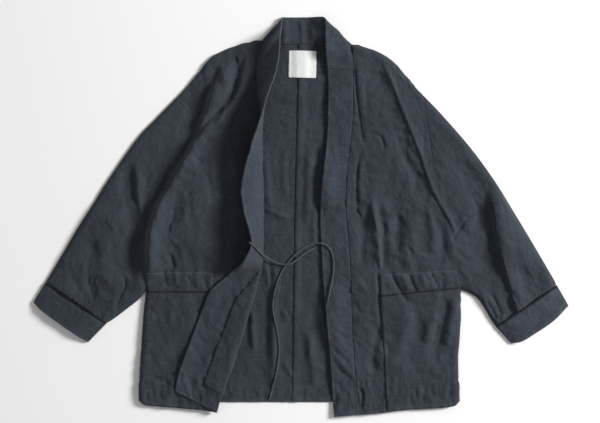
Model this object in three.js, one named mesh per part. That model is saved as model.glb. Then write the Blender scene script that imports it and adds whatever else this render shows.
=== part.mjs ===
// A noragi jacket of plain cotton, laid on its back with the fronts open.
// Millimetres. +Z is up, +Y points to the neck, +X to the wearer's left. The underside lies on Z = 0.
import * as THREE from 'three';

// ---- Driving dimensions ----
const CLOTH = 1.2; // wall of the single cloth
const DOUBLED = 2.4; // wall of the collar band and the cuffs, which are doubled cloth
const GAP = 0.3; // left between two pieces at a seam
const BAND_WIDTH = 57; // collar band, seam to free edge
const BAND_LIFT = (DOUBLED - CLOTH) / 2; // keeps its underside level with the front's
const LOFT = 8; // usual height of the upper cloth above the surface
const EDGE_LOFT = 3.4; // its height where the garment's outline rounds down
const EDGE_ROUND = 14; // width of that rounding
const NECK_Y = 362; // back neck seam
const JOIN_Y = 309; // cross seam between the back-neck band and the front bands
const MOUTH_Y = -116; // top of the pocket mouth band
const PIPING_TOP_Y = -155;
const PIPING_BOTTOM_Y = -159;
const UNDERARM_Y = -149;
const POCKET_FOOT = 12; // the pocket ends this far above the hem's edge
const COLLAR_FOLD_RADIUS = 4; // of the band's two folds beside the neck
const TIE_DIAMETER = 3.5;
const LABEL = { width: 58, height: 57, thickness: 1, x: 3, y: 320.5, turn: -0.02 };

// ---- Outlines: each is a list of [x, y] that a smooth curve passes through ----
const RIGHT = {
  shoulder: [[-256, 252], [-233, 278], [-205, 312], [-186, 333], [-170, 343], [-153, 352], [-128, 360],
    [-93.5, 368]],
  armhole: [[-256, 252], [-232, 226], [-233, 192], [-252, 148], [-282, 92], [-308, 25], [-321, -59],
    [-323, -149]],
  side: [[-323, -149], [-328, -195], [-332, -250], [-334, -300], [-336, -343], [-338, -386]],
  hem: [[-338, -387], [-326, -394], [-297, -397], [-264, -400], [-213, -404], [-190, -407], [-176, -410]],
  sleeveTop: [[-256, 252], [-296, 211], [-343, 161], [-402, 77], [-434, 26], [-466, -24], [-496, -75],
    [-534, -139]],
  sleeveUnder: [[-323, -149], [-338, -168], [-359, -185], [-395, -212], [-410, -221]],
  cuffMouth: [[-559, -181], [-543, -196], [-505, -224], [-467, -250], [-449, -261]],
  pocketEdge: [[-185, MOUTH_Y], [-186, -237], [-188, -400]],
};
const LEFT = {
  shoulder: [[257, 252], [235, 278], [205, 312], [183, 332], [164, 343], [147, 352], [124, 360], [108, 368]],
  armhole: [[257, 252], [264, 205], [273, 141], [289, 57], [309, -48], [332, -149]],
  side: [[332, -149], [334, -162], [333, -217], [329, -280], [329, -322], [331, -386]],
  hem: [[331, -388], [318, -397], [278, -401], [211, -405], [177, -410], [144, -413], [125, -414]],
  bandSeam: [[108, 368], [109, 288], [109, 225], [105, 162], [97, 99], [94, 15], [101, -69], [105, -153],
    [107, -216], [111, -279], [116, -342], [125, -414]],
  bandEdge: [[51, 368], [55, 309], [57, 267], [55, 183], [50, 120], [42, 36], [40, -6], [42, -59], [46, -132],
    [52, -195], [57, -258], [61, -300], [66, -370], [70, -419]],
  sleeveTop: [[257, 252], [296, 211], [354, 144], [403, 77], [445, 9], [485, -58], [524, -125], [534, -144]],
  sleeveUnder: [[332, -149], [352, -157], [371, -169], [388, -193], [400, -213], [410, -227]],
  cuffMouth: [[559, -188], [528, -218], [490, -244], [462, -261], [444, -264]],
  pocketEdge: [[166, MOUTH_Y], [172, -237], [181, -400]],
};
const BACK_CENTRE = [[-6, NECK_Y], [-8, 225], [-12, 57], [-15, -100], [-17, -237], [-19, -388]];
const BACK_HEM_Y = -388;
const LOWEST_SEAM_Y = -386; // end of the side seams, above the hem's rounded corners

// ---- Folds of the upper cloth: rise above (or below) the loft, width to where it fades ----
const FOLDS = [
  // wearer's right
  { rise: -6, width: 15, path: [[-172, 322], [-181, 298], [-197, 256], [-212, 214], [-233, 172],
    [-265, 130]] },
  { rise: -6, width: 17, path: [[-233, 172], [-265, 130], [-286, 78], [-307, 36], [-319, -17], [-322, -90]] },
  { rise: 8, width: 15, path: [[-158, 334], [-154, 277], [-165, 232], [-190, 195], [-212, 172]] },
  { rise: -6, width: 8, path: [[-132, 335], [-134, 288], [-145, 256], [-166, 229], [-212, 178],
    [-235, 150]] },
  { rise: 6, width: 14, path: [[-116, 335], [-120, 280], [-140, 235], [-172, 190], [-198, 150]] },
  { rise: -6, width: 30, path: [[-100, 330], [-94, 256], [-88, 204], [-86, 67], [-86, -52], [-88, -110]] },
  { rise: 9, width: 45, path: [[-205, 140], [-220, 60], [-235, -20], [-238, -90]] },
  { rise: 7, width: 13, path: [[-282, 56], [-300, 4], [-308, -48], [-311, -100], [-313, -150]] },
  { rise: -5, width: 12, path: [[-365, 112], [-363, 67], [-353, 25], [-342, -17], [-328, -60]] },
  { rise: 5, width: 12, path: [[-338, 96], [-341, 40], [-331, -10]] },
  { rise: 5, width: 60, path: [[-400, 40], [-430, -60], [-460, -140]] },
  { rise: 4, width: 30, path: [[-270, -190], [-262, -290], [-268, -380]] },
  // wearer's left
  { rise: 9, width: 12, path: [[166, 330], [187, 288], [208, 235], [229, 183], [246, 141], [260, 99]] },
  { rise: 8, width: 12, path: [[246, 141], [260, 99], [275, 57], [292, 25], [307, -17], [317, -59],
    [326, -100]] },
  { rise: -4, width: 7, path: [[113, 334], [118, 267], [122, 214], [130, 162], [136, 130]] },
  { rise: -5, width: 10, path: [[124, 151], [120, 109], [120, 36], [126, -38]] },
  { rise: 6, width: 9, path: [[146, 60], [160, -48], [162, -110]] },
  { rise: -5, width: 9, path: [[160, 40], [172, -48], [176, -110]] },
  { rise: -4, width: 10, path: [[205, 190], [214, 141], [236, 90], [252, 25]] },
  { rise: -4, width: 10, path: [[204, 10], [202, -80]] },
  { rise: 4, width: 14, path: [[232, 20], [228, -60], [222, -110]] },
  { rise: 5, width: 16, path: [[66, 130], [60, 60], [58, 10]] },
  { rise: 4, width: 16, path: [[70, -140], [76, -220], [84, -300]] },
  { rise: -7, width: 16, path: [[338, 120], [365, 60], [388, 4], [393, -48], [399, -101], [414, -150]] },
  { rise: 6, width: 26, path: [[396, 60], [425, 0], [440, -60], [462, -120]] },
  { rise: -5, width: 14, path: [[302, -165], [292, -225], [284, -280]] },
  { rise: -4, width: 14, path: [[270, -175], [245, -245], [210, -320]] },
  { rise: 4, width: 18, path: [[225, -180], [214, -260], [206, -340]] },
];

// Low folds of the back where it shows between the fronts.
const BACK_FOLDS = [
  { rise: 2.5, width: 9, path: [[-74, 22], [-48, 12], [-22, 0]] },
  { rise: 2.5, width: 10, path: [[18, 150], [16, 60], [10, -30]] },
  { rise: 2.5, width: 12, path: [[-50, -200], [-56, -290], [-62, -350]] },
  { rise: 2.5, width: 10, path: [[14, -230], [24, -320], [30, -360]] },
];

// ---- The wearer's right front edge, a row for each section down the front.
// crestX: the outermost point of the turn; radius: of the turn; tilt: of what follows it, 90 upright,
// 180 turned flat back; bow: how much that curls on; turned: width of front turned back; heading: how far
// the turned part points up towards the shoulder. Angles in degrees.
const TURN_COLUMNS = ['y', 'crestX', 'radius', 'tilt', 'bow', 'turned', 'heading'];
const TURN = [
  [420, -91, 2.5, 6, 0, 1, 0],
  [366, -91, 2.5, 16, 0, 1, 0],
  [309, -91, 2.5, 44, 8, 1, 0],
  [256, -89, 2.5, 70, 20, 1, 0],
  [204, -84, 2.5, 92, 28, 1, 0],
  [141, -82, 2.5, 114, 34, 1, 0],
  [67, -81, 2.5, 138, 34, 1, 0],
  [15, -81, 2.5, 132, 34, 1, 0],
  [-52, -80, 2.5, 114, 36, 1, 0],
  [-94, -79, 4, 134, 30, 2, 0],
  [-122, -85, 6, 160, 14, 8, 3],
  [-160, -96, 6.5, 176, 2, 20, 13],
  [-195, -107, 6.5, 180, 0, 29, 22],
  [-269, -128, 6.5, 180, 0, 37, 26],
  [-363, -160, 6, 180, 0, 40, 27],
  [-410, -174, 5, 180, 0, 39, 27],
];
const LAPEL_LIFT = 8; // centre of the turned-back cloth above the cloth that it lies on
const LYING_FROM = 125; // tilt from which the turned-back cloth begins to lie on the front
const LYING_OVER = 45; // further degrees after which it lies on it all over

// ---- Ties: centre line points [x, y, z] from the sewn end to the free end ----
const TIE_RIGHT = [
  [-107, -52, 61.6], [-102, -55, 61.2], [-97, -59, 57], [-92, -65, 48.6], [-86, -72, 37], [-79, -79, 25],
  [-70, -86, 14.5], [-59, -93, 8.6], [-48, -98, 7.5], [-36, -100, 7.6], [-24, -99, 7.6], [-13, -93, 5.2],
  [-3, -84, 3.6], [8, -76, 3.4], [19, -69, 3.4], [31, -64, 3.4],
];
const TIE_LEFT = [
  [55, -180, 13], [58, -165, 13.2], [63, -143, 12.3], [67, -122, 12.1], [69, -96, 12.1], [66, -78, 12.1],
  [61, -67, 12.1], [53, -59, 12.3], [45, -56, 12.6], [38, -55, 11], [32, -55, 7.4], [25, -57, 4.2],
  [14, -61, 3.4],
  [-2, -69, 3.4], [-13, -79, 3.4], [-24, -91, 3.4], [-34, -104, 3.4], [-44, -120, 3.4], [-52, -143, 3.4],
  [-59, -174, 3.4], [-59, -200, 4], [-52, -227, 5.2], [-47, -258, 5.6], [-45, -280, 5.6], [-48, -304, 5.4],
  [-54, -340, 4.4], [-61, -363, 3.6], [-66, -381, 3.4],
];

// ---- Colours ----
const indigo = new THREE.MeshStandardMaterial({ color: '#39414a', roughness: 0.92, metalness: 0 });
const piping = new THREE.MeshStandardMaterial({ color: '#14181d', roughness: 0.9, metalness: 0 });
const white = new THREE.MeshStandardMaterial({ color: '#e9ebe8', roughness: 0.85, metalness: 0 });

// ---- Small mathematics ----
const mix = (a, b, t) => a + (b - a) * t;
const rise = (t) => {
  const s = Math.min(1, Math.max(0, t));
  return s * s * (3 - 2 * s);
};

// Point on a smooth curve through rows of numbers, where `at` runs from 0 to the last row.
function onCurve(rows, at) {
  const last = rows.length - 1;
  const i = Math.min(last - 1, Math.max(0, Math.floor(at)));
  const t = Math.min(1, Math.max(0, at - i));
  const a = rows[Math.max(0, i - 1)];
  const b = rows[i];
  const c = rows[i + 1];
  const d = rows[Math.min(last, i + 2)];
  return b.map((_, k) => {
    const m0 = i === 0 ? c[k] - b[k] : (c[k] - a[k]) / 2;
    const m1 = i + 1 === last ? c[k] - b[k] : (d[k] - b[k]) / 2;
    const bend = (2 * b[k] - 2 * c[k] + m0 + m1) * t + (3 * c[k] - 3 * b[k] - 2 * m0 - m1);
    return (bend * t + m0) * t + b[k];
  });
}

// Place along the rows where column `k` has the value, for rows that rise or fall in that column.
function where(rows, k, value) {
  let low = 0;
  let high = rows.length - 1;
  const falling = rows[0][k] > rows[high][k];
  for (let step = 0; step < 40; step += 1) {
    const mid = (low + high) / 2;
    const over = onCurve(rows, mid)[k] > value;
    if (over === falling) low = mid;
    else high = mid;
  }
  return (low + high) / 2;
}

const xAtY = (rows, y) => onCurve(rows, where(rows, 1, y))[0];
const yAtX = (rows, x) => onCurve(rows, where(rows, 0, x))[1];

// The same curve, walked at a steady pace: share runs from 0 to 1.
const PACE_STEPS = 12; // between two rows
function pace(rows, share) {
  const steps = PACE_STEPS * (rows.length - 1);
  const lengths = [0];
  let before = onCurve(rows, 0);
  for (let i = 1; i <= steps; i += 1) {
    const now = onCurve(rows, i / PACE_STEPS);
    lengths.push(lengths[i - 1] + Math.hypot(now[0] - before[0], now[1] - before[1]));
    before = now;
  }
  const goal = share * lengths[steps];
  let i = 1;
  while (i < steps && lengths[i] < goal) i += 1;
  const part = (goal - lengths[i - 1]) / (lengths[i] - lengths[i - 1]);
  return onCurve(rows, (i - 1 + part) / PACE_STEPS);
}

// Distance from a point to a path, and the share of the path's length at the nearest place.
function toPath(path, x, y) {
  let best = Infinity;
  let place = 0;
  for (let i = 0; i + 1 < path.length; i += 1) {
    const [ax, ay] = path[i];
    const dx = path[i + 1][0] - ax;
    const dy = path[i + 1][1] - ay;
    const t = Math.min(1, Math.max(0, ((x - ax) * dx + (y - ay) * dy) / (dx * dx + dy * dy)));
    const d = Math.hypot(x - ax - t * dx, y - ay - t * dy);
    if (d < best) {
      best = d;
      place = (i + t) / (path.length - 1);
    }
  }
  return [best, place];
}

const FOLD_TAPER = 0.2; // share of a fold's length over which each of its ends fades
function foldHeight(folds, x, y) {
  let total = 0;
  for (const { rise: height, width, path } of folds) {
    const [d, place] = toPath(path, x, y);
    const ends = rise(place / FOLD_TAPER) * rise((1 - place) / FOLD_TAPER);
    total += height * Math.exp(-((d / width) ** 2)) * ends;
  }
  return total;
}

// ---- The upper cloth: its height above the surface, rounding down to the garment's outline ----
const OUTLINE_STEPS = 16; // along each of these outlines
const outlines = [RIGHT, LEFT].flatMap((half) => [half.shoulder, half.sleeveTop, half.sleeveUnder, half.side]
  .map((rows) => Array.from({ length: OUTLINE_STEPS + 1 }, (_, i) => pace(rows, i / OUTLINE_STEPS))));

function loft(x, y) {
  const edge = Math.min(EDGE_ROUND, ...outlines.map((path) => toPath(path, x, y)[0]));
  const inward = 1 - (1 - edge / EDGE_ROUND) ** 2;
  return EDGE_LOFT + inward * Math.max(1, LOFT + foldHeight(FOLDS, x, y) - EDGE_LOFT);
}

// A point of cloth: its centre and the direction that its outer face looks.
const SLOPE_STEP = 1.5; // to each side of it, over which its slope is taken
function onLoft(x, y, lift = 0) {
  const h = SLOPE_STEP;
  const slopeX = (loft(x + h, y) - loft(x - h, y)) / (2 * h);
  const slopeY = (loft(x, y + h) - loft(x, y - h)) / (2 * h);
  return {
    p: new THREE.Vector3(x, y, loft(x, y) + lift),
    n: new THREE.Vector3(-slopeX, -slopeY, 1).normalize(),
  };
}

// ---- Bodies of cloth from grids of such points ----
function bodyFrom(grid, thickness, closed) {
  const rows = grid.length;
  const columns = grid[0].length;
  const positions = [];
  const indices = [];
  for (const side of [0.5, -0.5]) {
    for (const row of grid) {
      for (const { p, n } of row) positions.push(...p.clone().addScaledVector(n, side * thickness).toArray());
    }
  }
  const id = (layer, r, c) => layer * rows * columns + r * columns + (c % columns);
  const quad = (a, b, c, d) => indices.push(a, b, c, a, c, d);
  const lastColumn = closed ? columns : columns - 1;
  for (let r = 0; r + 1 < rows; r += 1) {
    for (let c = 0; c < lastColumn; c += 1) {
      quad(id(0, r, c), id(0, r, c + 1), id(0, r + 1, c + 1), id(0, r + 1, c));
      quad(id(1, r, c), id(1, r + 1, c), id(1, r + 1, c + 1), id(1, r, c + 1));
    }
  }
  for (let c = 0; c < lastColumn; c += 1) {
    quad(id(0, 0, c), id(1, 0, c), id(1, 0, c + 1), id(0, 0, c + 1));
    quad(id(0, rows - 1, c), id(0, rows - 1, c + 1), id(1, rows - 1, c + 1), id(1, rows - 1, c));
  }
  for (let r = 0; r + 1 < rows && !closed; r += 1) {
    quad(id(0, r, 0), id(0, r + 1, 0), id(1, r + 1, 0), id(1, r, 0));
    quad(id(0, r, columns - 1), id(1, r, columns - 1), id(1, r + 1, columns - 1), id(0, r + 1, columns - 1));
  }
  const geometry = new THREE.BufferGeometry();
  geometry.setAttribute('position', new THREE.Float32BufferAttribute(positions, 3));
  geometry.setIndex(facingOut(positions, indices));
  return geometry;
}

// Faces are listed so that they look outwards: a body with a negative volume has them turned round.
function facingOut(positions, indices) {
  const a = new THREE.Vector3();
  const b = new THREE.Vector3();
  const c = new THREE.Vector3();
  let volume = 0;
  for (let i = 0; i < indices.length; i += 3) {
    a.fromArray(positions, 3 * indices[i]);
    b.fromArray(positions, 3 * indices[i + 1]);
    c.fromArray(positions, 3 * indices[i + 2]);
    volume += a.dot(b.cross(c));
  }
  return volume > 0 ? indices : indices.reverse();
}

const cloth = (grid, thickness = CLOTH) => bodyFrom(grid, thickness, false);

// Directions worked out from the grid itself, for cloth that stands or turns over.
function withDirections(grid, from = 0) {
  const point = (r, c) => grid[r][c].p;
  grid.forEach((row, r) => {
    for (let c = from; c < row.length; c += 1) {
      const across = point(r, Math.min(row.length - 1, c + 1)).clone().sub(point(r, Math.max(0, c - 1)));
      const along = point(Math.min(grid.length - 1, r + 1), c).clone().sub(point(Math.max(0, r - 1), c));
      row[c].n = along.cross(across).normalize();
    }
  });
  return grid;
}

const group = new THREE.Group();
function add(name, geometry, material) {
  const mesh = new THREE.Mesh(geometry, material);
  mesh.name = name;
  group.add(mesh);
}

// ---- Stations shared by the pieces that meet at the armhole and down the front ----
const UPPER_ROWS = 13; // shoulder to pocket mouth
const POCKET_COLUMNS = 9;
const MIDDLE_COLUMNS = 6;
const HEM_ROWS = 6;
const INNER_HEM_Y = -400; // of the fronts, about where the pockets' lines meet the hem
const EDGE_YS = [368, 338, JOIN_Y, 270, 231, 192, 153, 114, 75, 36, -3, -40, -78, MOUTH_Y];
const ARM_YS = Array.from({ length: UPPER_ROWS + 1 }, (_, r) => mix(250, MOUTH_Y, r / UPPER_ROWS));
const LOWER_YS = [-135, UNDERARM_Y, PIPING_TOP_Y, PIPING_BOTTOM_Y];

// Outer boundary of the body on one side, at each row above the hem.
function armPoint(half, row) {
  if (row === 0) return half.armhole[0];
  const y = row <= UPPER_ROWS ? ARM_YS[row] : LOWER_YS[row - UPPER_ROWS - 1];
  return [xAtY(y > UNDERARM_Y ? half.armhole : half.side, y), y];
}

// Plan of a front: rows from shoulder to hem, columns from the outer boundary to its inner edge.
const FRONT_COLUMNS = POCKET_COLUMNS + MIDDLE_COLUMNS;

function acrossFront(outer, pocketEdge, inner) {
  return Array.from({ length: FRONT_COLUMNS + 1 }, (_, c) => (c <= POCKET_COLUMNS
    ? mix(outer, pocketEdge, c / POCKET_COLUMNS)
    : mix(pocketEdge, inner, (c - POCKET_COLUMNS) / MIDDLE_COLUMNS)));
}

function frontPlan(half, innerX) {
  const mouth = acrossFront(armPoint(half, UPPER_ROWS)[0], half.pocketEdge[0][0], innerX(MOUTH_Y));
  const span = mouth[FRONT_COLUMNS] - mouth[0];
  const topLeft = half.shoulder[0];
  const topRight = [innerX(EDGE_YS[0]), EDGE_YS[0]];
  const plan = EDGE_YS.map((innerY, r) => {
    const down = r / UPPER_ROWS;
    const left = armPoint(half, r);
    const right = [innerX(innerY), innerY];
    return mouth.map((mouthX, c) => {
      const u = mix(c / FRONT_COLUMNS, (mouthX - mouth[0]) / span, down);
      const top = pace(half.shoulder, u);
      const offTop = (k) => top[k] - mix(topLeft[k], topRight[k], u);
      return [0, 1].map((k) => mix(left[k], right[k], u) + (1 - down) * offTop(k));
    });
  });
  LOWER_YS.forEach((y, i) => {
    const xs = acrossFront(armPoint(half, UPPER_ROWS + 1 + i)[0], xAtY(half.pocketEdge, y), innerX(y));
    plan.push(xs.map((x) => [x, y]));
  });
  for (let r = 1; r <= HEM_ROWS; r += 1) {
    const down = r / HEM_ROWS;
    const y0 = mix(PIPING_BOTTOM_Y, INNER_HEM_Y, down);
    const outer = xAtY(half.side, Math.max(y0, LOWEST_SEAM_Y));
    const xs = acrossFront(outer, xAtY(half.pocketEdge, y0), innerX(y0));
    plan.push(xs.map((x) => [x, mix(PIPING_BOTTOM_Y, yAtX(half.hem, x), down)]));
  }
  return plan;
}

// ---- Fronts ----
const turnAt = (y) => {
  const row = onCurve(TURN, where(TURN, 0, y));
  return Object.fromEntries(TURN_COLUMNS.map((name, k) => [name, row[k]]));
};
const footX = (y) => turnAt(y).crestX - turnAt(y).radius;
const ARC_STEPS = 5;
const TURNED_STEPS = 3;
const BAND_GAP = 0.5; // along the cloth at the band's seam, whose two walls twist a little
const BAND_STEPS = 5;

// The cloth beyond the foot of the turn: round the turn, over the turned part, then along the band.
function beyondFoot(y) {
  const { radius, tilt, bow, turned, heading } = turnAt(y);
  const steps = [];
  for (let i = 0; i < ARC_STEPS; i += 1) {
    const angle = (tilt - bow / 2) / ARC_STEPS;
    steps.push([2 * radius * Math.sin(THREE.MathUtils.degToRad(angle / 2)), (i + 0.5) * angle]);
  }
  for (let i = 0; i < TURNED_STEPS; i += 1) steps.push([turned / TURNED_STEPS, tilt - bow / 2]);
  steps.push([BAND_GAP, tilt - bow / 2]);
  for (let i = 0; i < BAND_STEPS; i += 1) {
    steps.push([BAND_WIDTH / BAND_STEPS, tilt - bow / 2 + (bow * (i + 0.5)) / BAND_STEPS]);
  }
  const foot = [footX(y), y, loft(footX(y), y)];
  const flat = rise((tilt - LYING_FROM) / LYING_OVER);
  const turn = THREE.MathUtils.degToRad(heading);
  const points = [];
  let [x, py, z] = foot;
  steps.forEach(([length, degrees], i) => {
    const angle = THREE.MathUtils.degToRad(degrees);
    const reach = length * Math.cos(angle);
    x += reach < 0 ? reach * Math.cos(turn) : reach;
    py += reach < 0 ? -reach * Math.sin(turn) : 0;
    z += length * Math.sin(angle);
    const along = i < ARC_STEPS ? 0 : flat;
    points.push({ p: new THREE.Vector3(x, py, mix(z, loft(x, py) + lapelLift(radius, i), along)) });
  });
  return points;
}

function lapelLift(radius, step) {
  const out = Math.max(0, step - ARC_STEPS) / (TURNED_STEPS + BAND_STEPS);
  return mix(2 * radius, LAPEL_LIFT, rise(out * 2));
}

const rightPlan = frontPlan(RIGHT, footX);
const rightGrid = rightPlan.map((row) => {
  const flat = row.map(([x, y]) => onLoft(x, y));
  return flat.concat(beyondFoot(row[row.length - 1][1]));
});
withDirections(rightGrid, FRONT_COLUMNS + 1);
const FRONT_END = FRONT_COLUMNS + ARC_STEPS + TURNED_STEPS;
const JOIN_ROW = EDGE_YS.indexOf(JOIN_Y);
add('front_right', cloth(rightGrid.map((row) => row.slice(0, FRONT_END + 1))), indigo);

const nudge = ({ p, n }, x, y) => ({ p: p.clone().add(new THREE.Vector3(x, y, 0)), n });
const bandRightGrid = rightGrid.slice(JOIN_ROW).map((row, r) => {
  const band = row.slice(FRONT_END + 1);
  return r === 0 ? band.map((point) => nudge(point, 0, -GAP)) : band;
});
add('collar_band_right', cloth(bandRightGrid, DOUBLED), indigo);

// The band's free edge hangs a little lower at the hem than its seam.
const BAND_DROP = 5;
const BAND_DROP_Y = -340;
const BAND_DROP_OVER = 70;
const leftSeamX = (y) => xAtY(LEFT.bandSeam, y);
const leftPlan = frontPlan(LEFT, leftSeamX);
const leftGrid = leftPlan.map((row) => row.map(([x, y]) => onLoft(x, y)));
add('front_left', cloth(leftGrid), indigo);

const bandLeftGrid = leftPlan.slice(JOIN_ROW).map((row, r) => {
  const [seamX, seamY] = row[row.length - 1];
  const y = r === 0 ? seamY - GAP : seamY;
  const edgeX = xAtY(LEFT.bandEdge, y);
  const drop = BAND_DROP * rise((BAND_DROP_Y - y) / BAND_DROP_OVER);
  return Array.from({ length: BAND_STEPS + 1 }, (_, c) => {
    const u = c / BAND_STEPS;
    return onLoft(mix(seamX - GAP, edgeX, u), y - drop * u, BAND_LIFT);
  });
});
add('collar_band_left', cloth(bandLeftGrid, DOUBLED), indigo);

// ---- Collar band behind the neck: one strip, folded over beside each shoulder ----
// The folds run at about 45 degrees: y + |x| is the sum at the band's seam, and more by the spread at its edge.
const FOLD_SUM = { right: 453, left: 469 };
const FOLD_SPREAD = { right: 6, left: 0 };
const FLAP_BLEND = 28; // beyond a fold, over which the strip comes down to the front's edge
const FLAP_TOP_Y = 350; // above it the flap keeps the height that it has here
const FLAP_STEPS = 4;
const ROLL_STEPS = 6;
const NECK_STEPS = 6;

const foldSum = (side, v) => {
  const name = side < 0 ? 'right' : 'left';
  return FOLD_SUM[name] + (FOLD_SPREAD[name] * v) / BAND_WIDTH;
};

function neckBandPoint(s, v, side) {
  const sum = foldSum(side, v);
  const foldX = side * (sum - NECK_Y - v);
  const beyond = (side * (s - foldX)) / Math.SQRT2;
  const half = (Math.PI * COLLAR_FOLD_RADIUS) / 2;
  const base = DOUBLED / 2;
  const flatY = NECK_Y + v;
  if (beyond <= -half) return new THREE.Vector3(s, flatY, base);
  if (beyond < half) {
    const turn = (Math.PI * (beyond + half)) / (2 * half);
    const reach = -half + COLLAR_FOLD_RADIUS * Math.sin(turn);
    const along = reach - beyond;
    return new THREE.Vector3(
      s + (side * along) / Math.SQRT2,
      flatY + along / Math.SQRT2,
      base + COLLAR_FOLD_RADIUS * (1 - Math.cos(turn)),
    );
  }
  const folded = new THREE.Vector3(side * (sum - flatY), sum - side * s, base + 2 * COLLAR_FOLD_RADIUS);
  return folded.lerp(flapPoint(folded.y, v, side), rise((beyond - half) / FLAP_BLEND));
}

// Where the strip lies once it is over: against the front's edge.
function flapPoint(y, v, side) {
  if (side > 0) {
    const x = leftSeamX(Math.min(y, EDGE_YS[0])) - GAP - v;
    return new THREE.Vector3(x, y, loft(x, Math.min(y, FLAP_TOP_Y)) + BAND_LIFT);
  }
  const points = beyondFoot(y).slice(ARC_STEPS + TURNED_STEPS);
  const at = (v / BAND_WIDTH) * BAND_STEPS;
  const i = Math.min(BAND_STEPS - 1, Math.floor(at));
  return points[i].p.clone().lerp(points[i + 1].p, at - i);
}

function neckBand() {
  const half = (Math.PI * COLLAR_FOLD_RADIUS * Math.SQRT2) / 2;
  return Array.from({ length: BAND_STEPS + 1 }, (_, r) => {
    const v = (BAND_WIDTH * r) / BAND_STEPS;
    const rightFold = v + NECK_Y - foldSum(-1, v);
    const leftFold = foldSum(1, v) - NECK_Y - v;
    const rightEnd = JOIN_Y - foldSum(-1, v);
    const leftEnd = foldSum(1, v) - JOIN_Y;
    const row = [];
    const run = (from, to, count, side) => {
      for (let i = 0; i < count; i += 1) row.push({ p: neckBandPoint(mix(from, to, i / count), v, side) });
    };
    run(rightEnd, rightFold - half, FLAP_STEPS, -1);
    run(rightFold - half, rightFold + half, ROLL_STEPS, -1);
    run(rightFold + half, 0, NECK_STEPS / 2, -1);
    run(0, leftFold - half, NECK_STEPS / 2, 1);
    run(leftFold - half, leftFold + half, ROLL_STEPS, 1);
    run(leftFold + half, leftEnd, FLAP_STEPS, 1);
    row.push({ p: neckBandPoint(leftEnd, v, 1) });
    return row;
  });
}
add('collar_band_neck', cloth(withDirections(neckBand()), DOUBLED), indigo);

// ---- Back halves, flat on the surface ----
const NECK_HALF = 96; // half width of the back neck seam
const NECK_SHARE = 0.96; // of the shoulder's curve that lies outside it
function backHalf(half, sign) {
  const columns = 9;
  const neckColumns = 3;
  const top = (c) => {
    if (c <= columns - neckColumns) {
      const [x, y] = pace(half.shoulder, (NECK_SHARE * c) / (columns - neckColumns));
      return [x, Math.min(y, NECK_Y - GAP)];
    }
    const u = (c - columns + neckColumns) / neckColumns;
    return [mix(sign * NECK_HALF, BACK_CENTRE[0][0], u), NECK_Y - GAP];
  };
  const rows = UPPER_ROWS + LOWER_YS.length + HEM_ROWS - 1;
  const grid = [];
  for (let r = 0; r <= rows; r += 1) {
    const arm = r <= UPPER_ROWS + LOWER_YS.length
      ? armPoint(half, r)
      : [0, mix(PIPING_BOTTOM_Y, BACK_HEM_Y, (r - UPPER_ROWS - LOWER_YS.length) / (HEM_ROWS - 1))];
    if (r > UPPER_ROWS + LOWER_YS.length) arm[0] = xAtY(half.side, arm[1]);
    const v = r / rows;
    const centreY = mix(NECK_Y - GAP, BACK_HEM_Y, v);
    const centre = [xAtY(BACK_CENTRE, centreY) + (sign * GAP) / 2, centreY];
    grid.push(Array.from({ length: columns + 1 }, (_, c) => {
      const u = c / columns;
      const [topX, topY] = top(c);
      const fade = 1 - v;
      const x = mix(arm[0], centre[0], u) + fade * (topX - mix(half.shoulder[0][0], BACK_CENTRE[0][0], u));
      const y = mix(arm[1], centre[1], u) + fade * (topY - mix(half.shoulder[0][1], NECK_Y - GAP, u));
      const z = CLOTH / 2 + foldHeight(BACK_FOLDS, x, y);
      return { p: new THREE.Vector3(x, y, z), n: new THREE.Vector3(0, 0, 1) };
    }));
  }
  return grid;
}
add('back_right', cloth(backHalf(RIGHT, -1)), indigo);
add('back_left', cloth(backHalf(LEFT, 1)), indigo);

// ---- Sleeves and cuffs: flattened tubes ----
const SLEEVE_ROWS = 13;
const ARM_GAP = 0.45; // along X at the armhole, which runs at a slant

// Plan of a sleeve: across from underarm to shoulder, and out from the armhole to the cuff seam.
function sleevePlan(half, sign) {
  const arm = [];
  for (let r = UPPER_ROWS + 2; r >= 0; r -= 1) arm.push(armPoint(half, r));
  const lengths = [0];
  arm.slice(1).forEach(([x, y], i) => lengths.push(lengths[i] + Math.hypot(x - arm[i][0], y - arm[i][1])));
  const shares = lengths.map((length) => length / lengths[lengths.length - 1]);
  const { sleeveUnder: under, sleeveTop: over } = half;
  return Array.from({ length: SLEEVE_ROWS + 1 }, (_, i) => {
    const t = i / SLEEVE_ROWS;
    const low = pace(under, t);
    const high = pace(over, t);
    return shares.map((w, c) => [0, 1].map((k) => {
      const bulge = arm[c][k] - mix(under[0][k], over[0][k], w);
      return mix(low[k], high[k], w) + (1 - t) * bulge + (k === 0 ? sign * ARM_GAP * (1 - t) : 0);
    }));
  });
}

// Rings of a flattened tube over a plan: along the underside, then back over the top.
function tube(plan, topPoint, wall) {
  return bodyFrom(plan.map((row) => {
    const last = row.length - 1;
    const ring = row.map(([x, y], c) => {
      const n = new THREE.Vector3(0, 0, -1);
      if (c === 0 || c === last) n.add(sideways(row, c)).normalize();
      return { p: new THREE.Vector3(x, y, wall / 2), n };
    });
    for (let c = last; c >= 0; c -= 1) {
      const point = topPoint(...row[c]);
      if (c === 0 || c === last) point.n = sideways(row, c).add(new THREE.Vector3(0, 0, 1)).normalize();
      ring.push(point);
    }
    return ring;
  }), wall, true);
}

function sideways(row, c) {
  const near = c === 0 ? row[1] : row[row.length - 2];
  return new THREE.Vector3(row[c][0] - near[0], row[c][1] - near[1], 0).normalize();
}

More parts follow.
